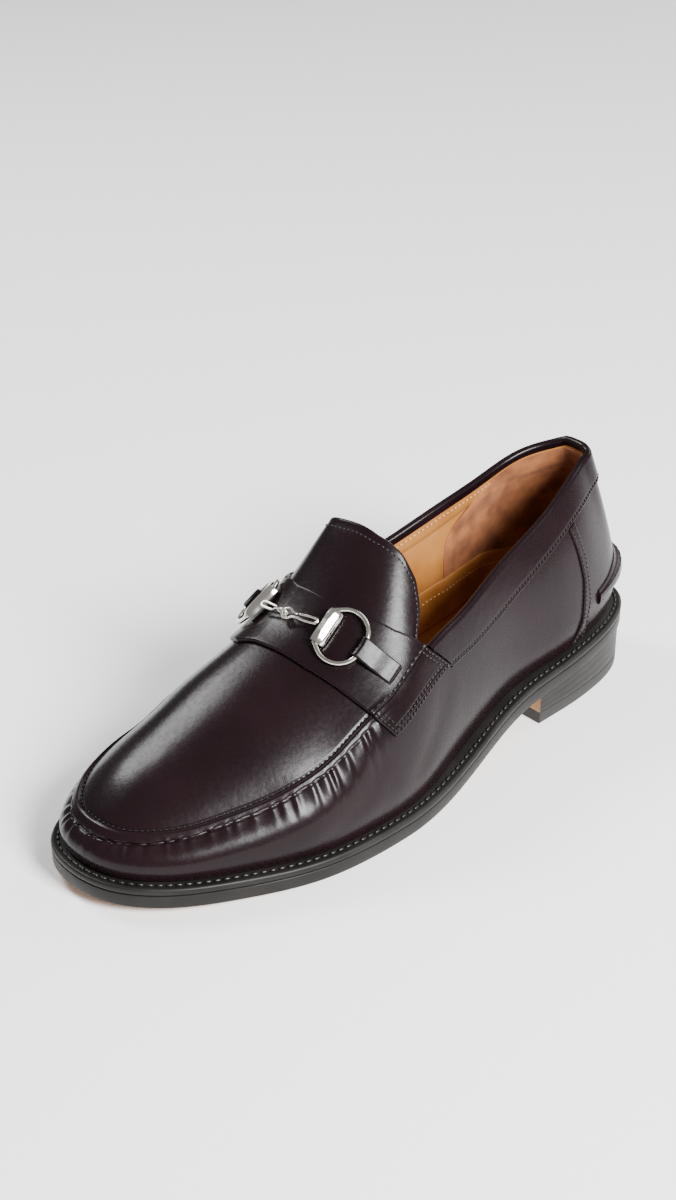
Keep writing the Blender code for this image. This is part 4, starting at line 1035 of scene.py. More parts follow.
def build_counter(calf):
    """A strip up each side of the heel counter, and the lip across the back of the heel."""
    for side, word in SIDE_NAMES.items():
        name = f"counter_strip_{word}"
        ups = 0.03 + 0.78 * crowded(40, 0.03)
        shares, grid = side_grid(side, ups, STRIP_REAR, STRIP_FRONT, crowded(8, 0.22))
        grid = np.minimum(grid, up_at(shares, -BAND_WIDTH * band_spread(shares) - 2 * SEAM_GAP))
        strip = patch(
            f"{name}_calf", shares, grid, COUNTER_LIFT, OVERLAY_THICKNESS, calf, edge=0.0006, skip=("head",)
        )
        dress(strip, name)
    shares = np.linspace(-KICKER_END, KICKER_END, 321)[:, None]
    across = np.linspace(0, 1, 41)
    fade = ease(0, KICKER_END, np.abs(shares))
    low = KICKER_BACK[0] + (KICKER_TIP[0] - KICKER_BACK[0]) * fade
    high = KICKER_BACK[1] + (KICKER_TIP[1] - KICKER_BACK[1]) * fade
    ups = low + (high - low) * across
    # A sharp ledge above, a roll below it that is gathered in narrow folds
    swell = np.clip(spline(*zip(*KICKER_PROFILE), across), 0, 1) * (1 - 0.85 * fade)
    turns = 2 * math.pi * shares * SIDE_LENGTH / GATHER_PITCH
    folds = np.cos(turns + 9 * across) + 0.6 * np.cos(turns / 0.61 - 5 * across + 1.3)
    rounded = 0.0007 * np.sin(across * math.pi) ** 0.5
    lift = 0.0001 + KICKER_REACH * swell + rounded + GATHER_DEPTH * folds * swell
    shares = np.repeat(shares, len(across), axis=1)
    lip = sheet("heel_lip_calf", skin(shares, ups, lift), skin(shares, ups, 0.0), calf)
    dress(lip, "heel_kicker")


# The suede heel grip: up coordinate and round share of its front edge
GRIP_FRONT = np.array(
    [(0.16, 0.280), (0.30, 0.285), (0.47, 0.288), (0.62, 0.289), (0.79, 0.276), (0.91, 0.231), (0.98, 0.197)]
)
# Round share and up coordinate of the seam across the grip, and of the sock lining's row on the wall
GRIP_SEAM = np.array([(0.0, 0.83), (0.076, 0.83), (0.136, 0.81), (0.196, 0.87), (0.30, 0.98)])
SOCK_SEAM = np.array(
    [(0.0, 0.18), (0.14, 0.20), (0.161, 0.22), (0.212, 0.31), (0.259, 0.34), (0.322, 0.35), (0.42, 0.36)]
)
# How far the sock lining's edge stands over that row, as an up coordinate, and where it starts and ends
SOCK_MARGIN = 0.09
SOCK_FOOT = 0.12
SOCK_END = 0.40
GRIP_THICKNESS = 0.0007
GRIP_ENDS = (0.285, 0.305)


def over_grip(shares):
    """How far the sock lining's edge stands in where the grip lies under it."""
    return (GRIP_THICKNESS + 0.0001) * (1 - ease(*GRIP_ENDS, np.abs(shares)))


def build_inside(lining, suede):
    """Sock lining over the insole, the suede grip at the heel, and the sock's edge up the wall."""
    rows = cross_rows(moved(feather_of, SEAM_GAP), round_stations(*INSOLE_SPAN, 90))
    across = np.linspace(0, 1, 41)
    width = rows[:, 2:3] - rows[:, 1:2]
    x = rows[:, 1:2] + width * across
    y = np.repeat(rows[:, :1], len(across), axis=1)
    z = outsole_top(station_of(y)) + SEAM_GAP + INSOLE_THICKNESS
    heel = 1 - ease(0.30, 0.50, station_of(y))
    top = z + 0.0016 * bell(np.minimum(across, 1 - across) * width, 0, 0.009) * heel
    bottom = z - INSOLE_THICKNESS
    sock = outward(sheet("sock_lining", np.stack([x, y, top], -1), np.stack([x, y, bottom], -1), lining))
    dress(sock, "insole")
    # The grip's front edge runs forward in a curve below the rim, and a seam crosses it behind.
    ups = np.linspace(GRIP_FRONT[0, 0], 0.975, 60)
    shares = np.linspace(-1, 1, 141)[:, None] * spline(*GRIP_FRONT.T, ups)[None]
    grid = np.minimum(ups[None], up_at(shares, -0.0030))
    height = rolled(edge_distance(skin(shares, grid)), GRIP_THICKNESS, 0.0006)
    height = height - 0.0005 * bell(grid, np.interp(np.abs(shares), *GRIP_SEAM.T), 0.012)
    # Near the rim it lies over the band's facing.
    near_rim = ease(0.76, 0.86, grid)
    base = wall_at(shares, grid) * (1 - near_rim) + (WALL + 0.0007) * near_rim
    line_wall("heel_grip_suede", shares, grid, base, height, suede)
    # The sock lining's edge turns up the wall and covers the grip's foot.
    shares = np.linspace(-SOCK_END, SOCK_END, 201)[:, None]
    head = np.interp(np.abs(shares), *SOCK_SEAM.T) + SOCK_MARGIN
    grid = SOCK_FOOT + (head - SOCK_FOOT) * crowded(16, 0.08)
    shares = np.repeat(shares, grid.shape[1], axis=1)
    height = rolled(edge_distance(skin(shares, grid), ("start", "end")), 0.0007, 0.0020)
    line_wall("sock_edge", shares, grid, wall_at(shares, grid) + over_grip(shares), height, lining)


def line_wall(name, shares, ups, depth, height, paint):
    """A piece of a height that lies inside the upper, at a depth below its outer face."""
    outer, inner = skin(shares, ups, 0.0001 - depth), skin(shares, ups, -depth - height)
    outward(sheet(name, outer, inner, paint))


# Sole

# The welt's section: distance in from the outline, and height. Heights above zero are measured from
# its lower face, and the others down from its upper face.
WELT_SECTION = (
    (0.0000, 0.0004),
    (-0.0001, 0.0010),
    (-0.0001, -0.0009),
    (0.0002, -0.0004),
    (0.0007, -0.00005),
    (0.0014, 0.0),
    (0.0026, -0.00035),
    (0.0034, -0.00010),
)
HEEL_LIFTS = 3


def inset_outline(inset, count):
    """The outline moved inward by an inset, which is a function of station."""
    found = []
    steps = np.arange(count) / count
    for side, shares in ((1, steps), (-1, 1 - steps)):
        points, normal, station = outline_at(side, shares)
        found.append(points + normal * inset(station)[:, None])
    return np.vstack(found)


def sole_ring(inset, up, count):
    """Points all round the sole, at an inset and a height over the outsole."""
    ring = inset_outline(inset, count)
    return np.column_stack([ring, outsole_top(station_of(ring[:, 1])) + up])


def cross_rows(inset, stations):
    """Where an inset outline meets lines across the shoe: y, medial x and lateral x of each station."""
    ring = inset_outline(inset, 800)
    count = len(ring) // 2
    lateral = ring[: count + 1]
    medial = np.vstack([ring[count:], ring[:1]])[::-1]
    back = max(lateral[:, 1].max(), medial[:, 1].max())
    front = min(lateral[:, 1].min(), medial[:, 1].min())
    y = np.clip(y_of(stations), front, back)
    x_lateral = np.interp(-y, -lateral[:, 1], lateral[:, 0])
    x_medial = np.interp(-y, -medial[:, 1], medial[:, 0])
    return np.stack([y, x_medial, x_lateral], -1)


def round_stations(first, last, count):
    """Stations that crowd towards both ends, where the outline is round."""
    turn = np.linspace(0, math.pi, count)
    return first + (last - first) * (1 - np.cos(turn)) / 2


def feather_of(station):
    """Inset of the upper's inner face at the welt."""
    return welt_reach(station) + WALL


def outsole_top(station):
    """Height of the outsole's upper face."""
    return sole_bottom(station) + OUTSOLE_THICKNESS


def slab(name, stations, levels, paints, under=None):
    """A slab of the outline. Each level is an inset function and a height function, from the top down.

    Faces that look down or to the front of the heel take the second material.
    """
    points = []
    for inset, height in levels:
        rows = cross_rows(inset, stations)
        z = height(station_of(rows[:, 0]))
        points.append(np.stack([rows[:, 2], rows[:, 0], z], -1))
        points.append(np.stack([rows[:, 1], rows[:, 0], z], -1))
    count = len(stations)
    lines = [2 * level for level in range(len(levels))]
    lines += [line + 1 for line in reversed(lines)]
    faces = []
    for row in range(count - 1):
        for line, after in zip(lines, lines[1:] + lines[:1]):
            near, far = line * count + row, after * count + row
            faces.append((near, near + 1, far + 1, far))
    for high in range(0, 2 * (len(levels) - 1), 2):
        low = high + 2
        for row, first, second in ((0, 1, 0), (count - 1, 0, 1)):
            ends = (high + first, high + second, low + second, low + first)
            faces.append(tuple(line * count + row for line in ends))
    made = outward(flesh(name, np.vstack(points), faces, paints, 32))
    if under:
        for face in made.data.polygons:
            face.material_index = int(under(face))
    return made


def flat_of(value):
    """A function of station that is the same everywhere."""
    return lambda station: value + 0 * np.asarray(station)


def moved(function, amount):
    """A function of station with an amount added."""
    return lambda station: function(station) + amount


def between(high, low, share):
    """The function of station that lies a share of the way from one to another."""
    return lambda station: high(station) + (low(station) - high(station)) * share


def edge_levels(inset, top, bottom, round_top, round_bottom):
    """Levels down a slab's edge, rounded above and below."""
    shares = (0, 0.3, 0.65, 1)
    levels = []
    for face, radius, way, order in ((top, round_top, -1, shares), (bottom, round_bottom, 1, shares[::-1])):
        for share in order:
            turn = share * math.pi / 2
            in_by, up_by = radius * (1 - math.sin(turn)), way * radius * (1 - math.cos(turn))
            levels.append((moved(inset, in_by), moved(face, up_by)))
    return levels


def build_sole(edge, welt_paint, heel, rubber, under_paint):
    """Outsole, welt, heel stack and top lift with their rounded edges."""
    breast = HEEL_LENGTH / LENGTH
    stations = np.unique(np.r_[round_stations(0.0003, 0.9997, 150), WAIST_END, SPRING_START, breast])
    levels = edge_levels(flat_of(0.0), outsole_top, sole_bottom, 0.0004, EDGE_BEVEL)
    outsole = slab(
        "outsole_leather", stations, levels, [edge, under_paint], lambda face: face.normal.z < -0.8
    )
    dress(outsole, "outsole")

    bottom, top = SEAM_GAP, SEAM_GAP + WELT_THICKNESS
    levels = [(flat_of(inset), (bottom if up > 0 else top) + up) for inset, up in WELT_SECTION]
    levels += [(feather_of, top), (feather_of, bottom), (flat_of(0.0005), bottom)]
    corners = np.stack([sole_ring(inset, up, 260) for inset, up in levels], 1)
    ids = grid_ids(*corners.shape[:2])
    cells = cells_of(np.hstack([ids, ids[:, :1]]), True)
    dress(outward(flesh("welt_leather", corners.reshape(-1, 3), cells, welt_paint)), "welt")

    stations = round_stations(0.0006 + HEEL_TAPER / LENGTH, breast, 90)
    top, bottom = moved(sole_bottom, -SEAM_GAP * 0.3), flat_of(TOP_LIFT_THICKNESS + SEAM_GAP * 0.3)
    levels = []
    for layer in range(HEEL_LIFTS):
        high, low = layer / HEEL_LIFTS, (layer + 1) / HEEL_LIFTS
        for share, inset in ((high, 0.00008), (high + 0.05, 0), (low - 0.05, 0)):
            levels.append((flat_of(HEEL_TAPER + inset), between(top, bottom, share)))
    levels.append((flat_of(HEEL_TAPER + 0.0002), bottom))
    stack = slab(
        "heel_stack_leather", stations, levels, [heel, under_paint], lambda face: face.normal.y < -0.9
    )
    dress(stack, "heel_stack")
    levels = edge_levels(flat_of(HEEL_TAPER), flat_of(TOP_LIFT_THICKNESS), flat_of(0.0), 0.0002, 0.0004)
    dress(slab("top_lift_rubber", stations, levels, [rubber]), "top_lift")


# Bit


def smooth_path(points, count):
    """Evenly spaced points along a smooth curve through the given ones."""
    points = np.asarray(points, float)
    knots = run_lengths(points, 0.6)
    dense = spline(knots, points, np.linspace(0, knots[-1], 800))
    arc = run_lengths(dense)
    return points_at(np.linspace(0, arc[-1], count), arc, dense)


def strap_point(side, place, height):
    """A point over the strap: place is an up coordinate and a share of the strap's width from its rear."""
    up, across = place
    rear, front = line_at(STRAP_REAR[side], up), line_at(STRAP_FRONT[side], up)
    share = side * (rear + (front - rear) * across)
    return skin(share, up, STRAP_LIFT + STRAP_THICKNESS + height), look_up(SKIN_NORMALS, share, up)


def bit_frame(side):
    """A function that places lengths from the cheek: down to the ring, along to the toe, and outward."""
    height = 3 * SEAM_GAP + KEEPER_THICKNESS + RING_WIRE / 2
    origin, outwards = strap_point(side, CHEEK_PLACE[side], height)
    down = unit(strap_point(side, RING_PLACE[side], height)[0] - origin)
    outwards = unit(outwards - down * np.dot(down, outwards))
    toe = np.cross(down, outwards) * side
    return lambda a, b, c: origin + down * a + toe * b + outwards * c


def build_bit(metal, calf):
    """Snaffle bit: a ring and cheek on each side, and two links whose eyes hook into each other."""
    wire = RING_WIRE / 2
    half = RING_LENGTH / 2
    for side, word in SIDE_NAMES.items():
        at = bit_frame(side)
        start = CHEEK_LENGTH / 2 + SEAM_GAP + 0.6 * wire
        arch = ((0.03, start), (0.25, 0.97 * half), (0.60, 0.97 * half), (0.90, 0.62 * half))
        plan = [(share * RING_WIDTH, -length) for share, length in arch]
        plan += [(RING_WIDTH, 0)]
        plan += [(share * RING_WIDTH, length) for share, length in reversed(arch)]
        ring = smooth_path([(a, b, 0) for a, b in plan], 90)
        # The wire's ends run on into the cheek.
        path = np.vstack([ring[0] + [-0.0016, 0.0011, 0], ring, ring[-1] + [-0.0016, -0.0011, 0]])
        made = tube(f"bit_ring_{word}_nickel", [at(*point) for point in path], wire, 18, metal)
        dress(made, f"bit_ring_{word}")
        build_cheek(word, at, metal)
        build_link(side, word, at, metal)
        build_keeper(word, side, at, ring, calf)


# The cheek's section: shares of half its width and of its height
CHEEK_SECTION = (
    (1.00, 0.00),
    (1.02, 0.42),
    (0.62, 0.74),
    (0.18, 0.86),
    (-0.18, 1.00),
    (-0.85, 0.80),
    (-1.00, 0.42),
    (-1.00, 0.00),
)
CHEEK_BEVEL = 0.00022


def build_cheek(word, at, metal):
    """The cheek's barrel: a polished block with a ridged back and slanting ends."""
    half = CHEEK_LENGTH / 2
    foot = -KEEPER_THICKNESS - RING_WIRE / 2 + CHEEK_LIFT
    corners = np.array(CHEEK_SECTION) * (CHEEK_WIDTH / 2, CHEEK_HEIGHT) + (0, foot)
    profile = []
    for before, here, after in zip(np.roll(corners, 1, axis=0), corners, np.roll(corners, -1, axis=0)):
        profile += [here + unit(other - here) * CHEEK_BEVEL for other in (before, after)]
    lengths = np.r_[-1.0, -0.985, -0.94, np.linspace(-0.85, 0.85, 13), 0.94, 0.985, 1.0]
    rings = []
    for length in lengths:
        scale = 1 - 0.16 * abs(length) ** 6 - 0.05 * (abs(length) > 0.99)
        waist = 1 - 0.06 * (1 - length**2)
        rings.append([at(a * scale * waist, length * half, foot + (c - foot) * scale) for a, c in profile])
    points = np.array(rings)
    faces = capped(grid_ids(*points.shape[:2]))
    made = outward(flesh(f"bit_cheek_{word}_nickel", points.reshape(-1, 3), faces, metal, 24))
    dress(made, f"bit_cheek_{word}")


def build_link(side, word, at, metal):
    """A hairpin of wire from the cheek, whose end turns into an eye at the middle of the shoe."""
    wire = LINK_WIRE / 2
    middle, out = strap_point(1, EYE_PLACE, EYE_RADIUS + wire + 2 * SEAM_GAP)
    mouth = at(-(CHEEK_WIDTH / 2 + SEAM_GAP + wire), 0, 0)
    toward = unit(mouth - middle)
    flat = unit(np.cross(out, toward)) * side
    plane = flat if side > 0 else np.cross(toward, flat)
    eye = middle + toward * (EYE_RADIUS - wire) / 2
    turns = np.radians(np.linspace(40, 320, 14))
    loop = [eye + EYE_RADIUS * (np.cos(turn) * toward + np.sin(turn) * plane) for turn in turns]
    neck = eye + toward * (EYE_RADIUS + 1.4 * LINK_WIRE)
    pinch = plane * (wire + SEAM_GAP)
    spread = flat * LINK_WIDTH / 2
    route = [neck + pinch] + loop + [neck - pinch]
    for length, share in ((1.6, -0.66), (3.0, -0.88)):
        route.append(neck + toward * length * LINK_WIRE + spread * share)
    # The hairpin's legs run side by side and turn round in a half circle at the cheek.
    half = 0.88 * LINK_WIDTH / 2
    for turn in np.radians((-90, -45, 0, 45, 90)):
        route.append(mouth + toward * half * (math.cos(turn) - 1) + flat * half * math.sin(turn))
    for length, share in ((3.0, 0.88), (1.5, 0.80)):
        route.append(neck + toward * length * LINK_WIRE + spread * share)
    made = tube(f"bit_link_{word}_nickel", smooth_path(route, 170), wire, 12, metal)
    dress(made, f"bit_link_{word}")


def build_keeper(word, side, at, ring, calf):
    """A leather tab that folds round the ring's outer side and runs down into the strap."""
    inner = RING_WIRE / 2 + 0.0001
    turns = np.linspace(KEEPER_START, KEEPER_END, 18)
    toe = at(0, 1, 0) - at(0, 0, 0)
    middle = ring[len(ring) // 4 : -len(ring) // 4]
    outer_rows, inner_rows = [], []
    for share_across in crowded(9, 0.10):
        width = (share_across - 0.5) * KEEPER_WIDTH
        near = min(share_across, 1 - share_across) * KEEPER_WIDTH
        thick = float(rolled(np.array(near), KEEPER_THICKNESS, 0.0006))
        centre = np.interp(width, middle[:, 1], middle[:, 0])
        rows = []
        for radius in (inner + thick, inner):
            rows.append([at(centre + radius * math.cos(t), width, radius * math.sin(t)) for t in turns])
        for share in np.linspace(0.24, 1.0, 16):
            place = [a + (b - a) * share for a, b in zip(RING_PLACE[side], SLOT_PLACE[side])]
            raised = (inner + 3 * SEAM_GAP) * (1 - ease(0.1, 0.8, share)) + SEAM_GAP
            raised -= 0.0012 * ease(0.92, 1.0, share)
            foot, outwards = strap_point(side, place, float(raised))
            foot = foot + toe * width
            rows[0].append(foot + outwards * thick)
            rows[1].append(foot)
        outer_rows.append(rows[0])
        inner_rows.append(rows[1])
    made = outward(sheet(f"keeper_{word}_calf", np.array(outer_rows), np.array(inner_rows), calf))
    dress(made, f"keeper_{word}")


# Stitches

STITCHES = {
    # row: pitch, length, thickness
    "fine": (0.0021, 0.0015, 0.00066),
    "strap": (0.0030, 0.0021, 0.00095),
    "lining": (0.0024, 0.0016, 0.00050),
    "plug": (0.0023, 0.0016, 0.00064),
    "welt": (0.0037, 0.0032, 0.0012),
}
HOLE_SHADE_SIZES = {
    # row: length and width of the dark beads that paint the shade in the needle holes
    "fine": (0.0007, 0.00080),
    "strap": (0.0011, 0.00120),
    "plug": (0.0008, 0.00080),
}
PLEAT_STITCH_RADIUS = 0.00048


def stitch_tree(thread):
    """Geometry nodes that lay stitches along the edges of a mesh, at a pitch."""
    tree = bpy.data.node_groups.new(f"seam of {thread.name}", "GeometryNodeTree")
    face = tree.interface
    face.new_socket("Seam", in_out="INPUT", socket_type="NodeSocketGeometry")
    for name, value in zip(("Pitch", "Length", "Thickness"), STITCHES["fine"]):
        face.new_socket(name, in_out="INPUT", socket_type="NodeSocketFloat").default_value = value
    face.new_socket("Stitches", in_out="OUTPUT", socket_type="NodeSocketGeometry")

    def node(kind, links=(), **settings):
        made = tree.nodes.new(kind)
        for name, value in settings.items():
            setattr(made, name, value)
        for socket, source in dict(links).items():
            if isinstance(source, bpy.types.NodeSocket):
                tree.links.new(source, made.inputs[socket])
            else:
                made.inputs[socket].default_value = source
        return made

    inputs = node("NodeGroupInput").outputs
    line = node("GeometryNodeMeshToCurve", {"Mesh": inputs["Seam"]}).outputs[0]
    even = node("GeometryNodeResampleCurve", {"Curve": line, "Length": inputs["Pitch"]}, mode="LENGTH")
    tangent = node("GeometryNodeInputTangent").outputs[0]
    turned = node("FunctionNodeAlignRotationToVector", {"Vector": tangent}, axis="X")
    bead = node("GeometryNodeMeshUVSphere", {"Segments": 6, "Rings": 5, "Radius": 0.5})
    size = node(
        "ShaderNodeCombineXYZ", {"X": inputs["Length"], "Y": inputs["Thickness"], "Z": inputs["Thickness"]}
    )
    placed = node(
        "GeometryNodeInstanceOnPoints",
        {
            "Points": even.outputs[0],
            "Instance": bead.outputs[0],
            "Rotation": turned.outputs[0],
            "Scale": size.outputs[0],
        },
    )
    real = node("GeometryNodeRealizeInstances", {"Geometry": placed.outputs[0]})
    painted = node("GeometryNodeSetMaterial", {"Geometry": real.outputs[0], "Material": thread})
    node("NodeGroupOutput", {"Stitches": painted.outputs[0]})
    return tree


def lay(name, lines, sizes, thread):
    """Beads along lines of points, made by geometry nodes and turned into a plain mesh."""
    points, edges = [], []
    for line in lines:
        first = len(points)
        points += [tuple(point) for point in line]
        edges += [(first + k, first + k + 1) for k in range(len(line) - 1)]
    mesh = bpy.data.meshes.new(name + "_seam")
    mesh.from_pydata(points, edges, [])
    seam = bpy.data.objects.new(name + "_seam", mesh)
    bpy.context.scene.collection.objects.link(seam)
    made_by = seam.modifiers.new("stitches", "NODES")
    tree = bpy.data.node_groups.get(f"seam of {thread.name}") or stitch_tree(thread)
    made_by.node_group = tree
    values = dict(zip(("Pitch", "Length", "Thickness"), sizes))
    for item in tree.interface.items_tree:
        if item.in_out == "INPUT" and item.name in values:
            made_by[item.identifier] = values[item.name]
    bpy.context.view_layer.update()
    graph = bpy.context.evaluated_depsgraph_get()
    result = bpy.data.meshes.new_from_object(seam.evaluated_get(graph))
    seam.modifiers.remove(made_by)
    bpy.data.objects.remove(seam)
    result.name = name
    result.shade_smooth()
    made = bpy.data.objects.new(name, result)
    bpy.context.scene.collection.objects.link(made)
    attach(made, "root")


def sew(row, lines, thread, hole=None):
    """A kind of stitch along lines of points and, where a material for them is given, dark beads between the
    stitches: painted shade of the needle holes.
    """
    sizes = STITCHES[row]
    lay(f"stitches_{row}", lines, sizes, thread)
    if hole:
        # The needle holes' shade is painted: dark beads half a pitch after each stitch.
        lay(f"holes_{row}", between_stitches(lines, sizes[0]), (sizes[0], *HOLE_SHADE_SIZES[row]), hole)


def wing_line(side, place):
    """The stitch row of a wing: down its rear edge, along its foot and up its front edge."""
    count = 120
    foot, head = WING_FOOT[side], STRAP_FOOT[side]
    wall = float(-look_up(SKIN_PAST, side * 0.51, 0.0))
    rise, run = place / wall, share_gap(place)
    ups = np.linspace(head - 0.01, foot + rise, count)
    rear = line_at(STRAP_REAR[side], ups) + run
    front = line_at(STRAP_FRONT[side], ups[::-1]) - run
    base = np.linspace(rear[-1], front[0], count)
    shares = side * np.r_[rear, base[1:-1], front]
    return shares, np.r_[ups, np.full(count - 2, ups[-1]), ups[::-1]]


def fine_seams():
    """Rows in fine thread: tongue, collar band, counter strips and wings."""
    ups = np.linspace(1.06, 2, 160)
    inset = share_gap(TONGUE_SEAM) * (1 + 0.25 * np.sin((ups - 1.4) * 2))
    lateral, medial = (skin(side * (line_at(TONGUE_END[side], ups) + inset), ups) for side in (1, -1))
    seams = [np.vstack([lateral, medial[::-1]])]
    shares = np.linspace(-0.452, 0.466, 900)
    heights = -(BAND_WIDTH - BAND_SEAM) * band_spread(shares)
    seams.append(skin(shares, up_at(shares, heights), SEAM_GAP + OVERLAY_THICKNESS - 0.00006))
    for side in (1, -1):
        ups = np.linspace(0.05, 0.76, 160)
        for line, step in ((STRIP_FRONT, -0.0008), (STRIP_REAR, 0.0008)):
            shares = side * (line_at(line, ups) + share_gap(step))
            keep = ups < up_at(shares, -BAND_WIDTH * band_spread(shares) - 0.001)
            seams.append(skin(shares[keep], ups[keep], COUNTER_LIFT + OVERLAY_THICKNESS))
    for side in (1, -1):
        for place in WING_SEAMS:
            seams.append(skin(*wing_line(side, place), STRAP_LIFT + WING_THICKNESS - 0.00005))
    return seams


def strap_seams():
    """The row over each foot of the strap, where the wing starts."""
    seams = []
    for side in (1, -1):
        up = STRAP_FOOT[side] + 0.02
        rear, front = line_at(STRAP_REAR[side], up), line_at(STRAP_FRONT[side], up)
        shares = side * np.linspace(rear + share_gap(0.0012), front - share_gap(0.0012), 120)
        seams.append(skin(shares, np.full(120, up), STRAP_LIFT + STRAP_THICKNESS))
    return seams


def lining_seams():
    """One row inside, below the rim, and one low on each wall over the edge of the sock lining."""
    rows = []
    for side in (1, -1):
        shares = side * np.linspace(0.215, 0.445, 400)
        rows.append(skin(shares, up_at(shares, -0.0042), -(WALL + 0.0009)))
        shares = side * np.linspace(0.10, SOCK_END, 160)
        ups = np.interp(np.abs(shares), *SOCK_SEAM.T)
        rows.append(skin(shares, ups, -(WALL + 0.0008 + over_grip(shares))))
    return rows


def between_stitches(lines, pitch):
    """The same lines started half a pitch later, for the beads of painted needle-hole shade between the
    stitches.
    """
    step = 0.0003
    return [cord_between(line, step)[int(pitch / 2 / step) :] for line in lines]


def build_stitches(thread, welt_thread, pale_thread, hole):
    """Every row of stitches, with dark beads as painted shade of its needle holes where they show."""
    sew("fine", fine_seams(), thread, hole=hole)
    sew("strap", strap_seams(), thread, hole=hole)
    sew("lining", lining_seams(), pale_thread)
    # Moccasin seam: a fine row along the plug, and one long stitch between each two pleats
    shares = np.r_[np.linspace(-0.585, -1, 700), np.linspace(1, 0.585, 700)]
    low, high = seam_values(shares)[:2]
    sew("plug", [leather(shares, up_at(shares, high + 0.0002), 0.00022)], thread, hole=hole)
    seam = leather(shares, up_at(shares, low), 0.00022)
    crest = np.abs((seam_phase(shares) % 1) - 0.5) * 2
    steps = np.diff(np.r_[0, (crest < 0.52).astype(int), 0])
    runs = zip(np.flatnonzero(steps == 1), np.flatnonzero(steps == -1))
    pleats = [seam[start:end] for start, end in runs if end - start > 4]
    rope(pleats, "stitches_pleats", PLEAT_STITCH_RADIUS, thread)
    # Welt: one row all round, in its groove
    row = sole_ring(flat_of(0.0028), SEAM_GAP + WELT_THICKNESS + 0.0001, 900)
    sew("welt", [np.vstack([row, row[:1]])], welt_thread)


def rope(lines, name, radius, thread):
    """Short bent stitches, each a small tube tapered at both ends."""
    points, faces = [], []
    sides = 6
    turn = (2 * math.pi * np.arange(sides) / sides)[:, None]
    for line in lines:
        line = cord_between(line, 0.0006)
        tangents = unit(np.gradient(line, axis=0))
        first = unit(np.cross(tangents, [0, 0, 1.0]))
        second = np.cross(first, tangents)
        taper = radius * np.sin(np.linspace(0.12, math.pi - 0.12, len(line))) ** 0.4
        out = np.cos(turn) * first[:, None] + np.sin(turn) * second[:, None]
        faces += capped(len(points) + grid_ids(len(line), sides))
        points += (line[:, None] + out * taper[:, None, None]).reshape(-1, 3).tolist()
    outward(flesh(name, points, faces, thread, 60))


# Materials


def hex_colour(text):
    """A colour written as sRGB hex, in linear values."""
    values = [int(text[k : k + 2], 16) / 255 for k in (0, 2, 4)]
    return [value / 12.92 if value <= 0.04045 else ((value + 0.055) / 1.055) ** 2.4 for value in values]


def add_node(tree, kind, links=None, **settings):
    """A node with its settings, values and links."""
    made = tree.nodes.new(kind)
    for name, value in settings.items():
        setattr(made, name, value)
    for socket, source in (links or {}).items():
        if isinstance(source, bpy.types.NodeSocket):
            tree.links.new(source, made.inputs[socket])
        else:
            made.inputs[socket].default_value = source
    return made


def start_material(name, colour, roughness, metallic=0.0, **more):
    """A material with plain values, its tree, its shader, and the place on the object."""
    made = bpy.data.materials.new(name)
    made.use_nodes = True
    tree = made.node_tree
    shader = tree.nodes["Principled BSDF"]
    values = {"Base_Color": (*colour, 1), "Roughness": roughness, "Metallic": metallic, **more}
    for socket, value in values.items():
        shader.inputs[socket.replace("_", " ")].default_value = value
    place = add_node(tree, "ShaderNodeTexCoord").outputs["Object"]
    return made, tree, shader, place


def noise(tree, place, scale, detail):
    """Soft noise with as many waves to the metre as its scale."""
    links = {"Vector": place, "Scale": scale, "Detail": detail}
    return add_node(tree, "ShaderNodeTexNoise", links).outputs["Fac"]


def mottle(tree, shader, place, first, second, scale, detail=3.0):
    """Base colour that drifts between two tones."""
    ramp = add_node(tree, "ShaderNodeValToRGB", {"Fac": noise(tree, place, scale, detail)})
    for element, position, colour in zip(ramp.color_ramp.elements, (0.35, 0.65), (first, second)):
        element.position = position
        element.color = (*hex_colour(colour), 1)
    tree.links.new(ramp.outputs["Color"], shader.inputs["Base Color"])


def bumps(tree, shader, *layers):
    """Bump from several heights, each with a strength and a depth in metres."""
    normal = None
    for height, strength, depth in layers:
        links = {"Height": height, "Strength": strength, "Distance": depth}
        if normal is not None:
            links["Normal"] = normal
        normal = add_node(tree, "ShaderNodeBump", links).outputs["Normal"]
    tree.links.new(normal, shader.inputs["Normal"])


def varied(tree, shader, socket, source, low, high):
    """A shader value that follows a pattern between two limits."""
    spread = add_node(tree, "ShaderNodeMapRange", {"Value": source, "To Min": low, "To Max": high})
    tree.links.new(spread.outputs[0], shader.inputs[socket])


def polished_calf(settings):
    """Box calf, aniline dyed and polished: near black with a wine cast, a fine pore grain, a wax gloss."""
    # Dye and wax leave the surface less reflective than bare plastic.
    made, tree, shader, place = start_material(
        "polished burgundy calf", hex_colour("0e0608"), 0.26, IOR=1.45, Specular_IOR_Level=0.18
    )
    mottle(tree, shader, place, "0e0608", "150b0e", 22.0)
    # Pores of calf lie about 0.25 mm apart. They are drawn at 0.5 mm, which still shows in the render.
    links = {"Vector": place, "Scale": 1 / settings.grain_size, "Randomness": 1.0}
    pores = add_node(tree, "ShaderNodeTexVoronoi", links).outputs["Distance"]
    folds, waves = noise(tree, place, 620.0, 4.0), noise(tree, place, 75.0, 3.0)
    varied(tree, shader, "Roughness", folds, 0.19, 0.33)
    bumps(tree, shader, (waves, 0.25, 0.0006), (folds, 0.20, 0.00014), (pores, 0.12, 0.00007))
    return made


def lining_calf():
    """Vegetable-tanned lining calf, natural caramel: warm, smooth and only slightly glossy."""
    made, tree, shader, place = start_material("caramel lining calf", hex_colour("a56f38"), 0.5, IOR=1.45)
    mottle(tree, shader, place, "85521f", "a56f38", 35.0)
    bumps(tree, shader, (noise(tree, place, 900.0, 4.0), 0.25, 0.00015))
    return made


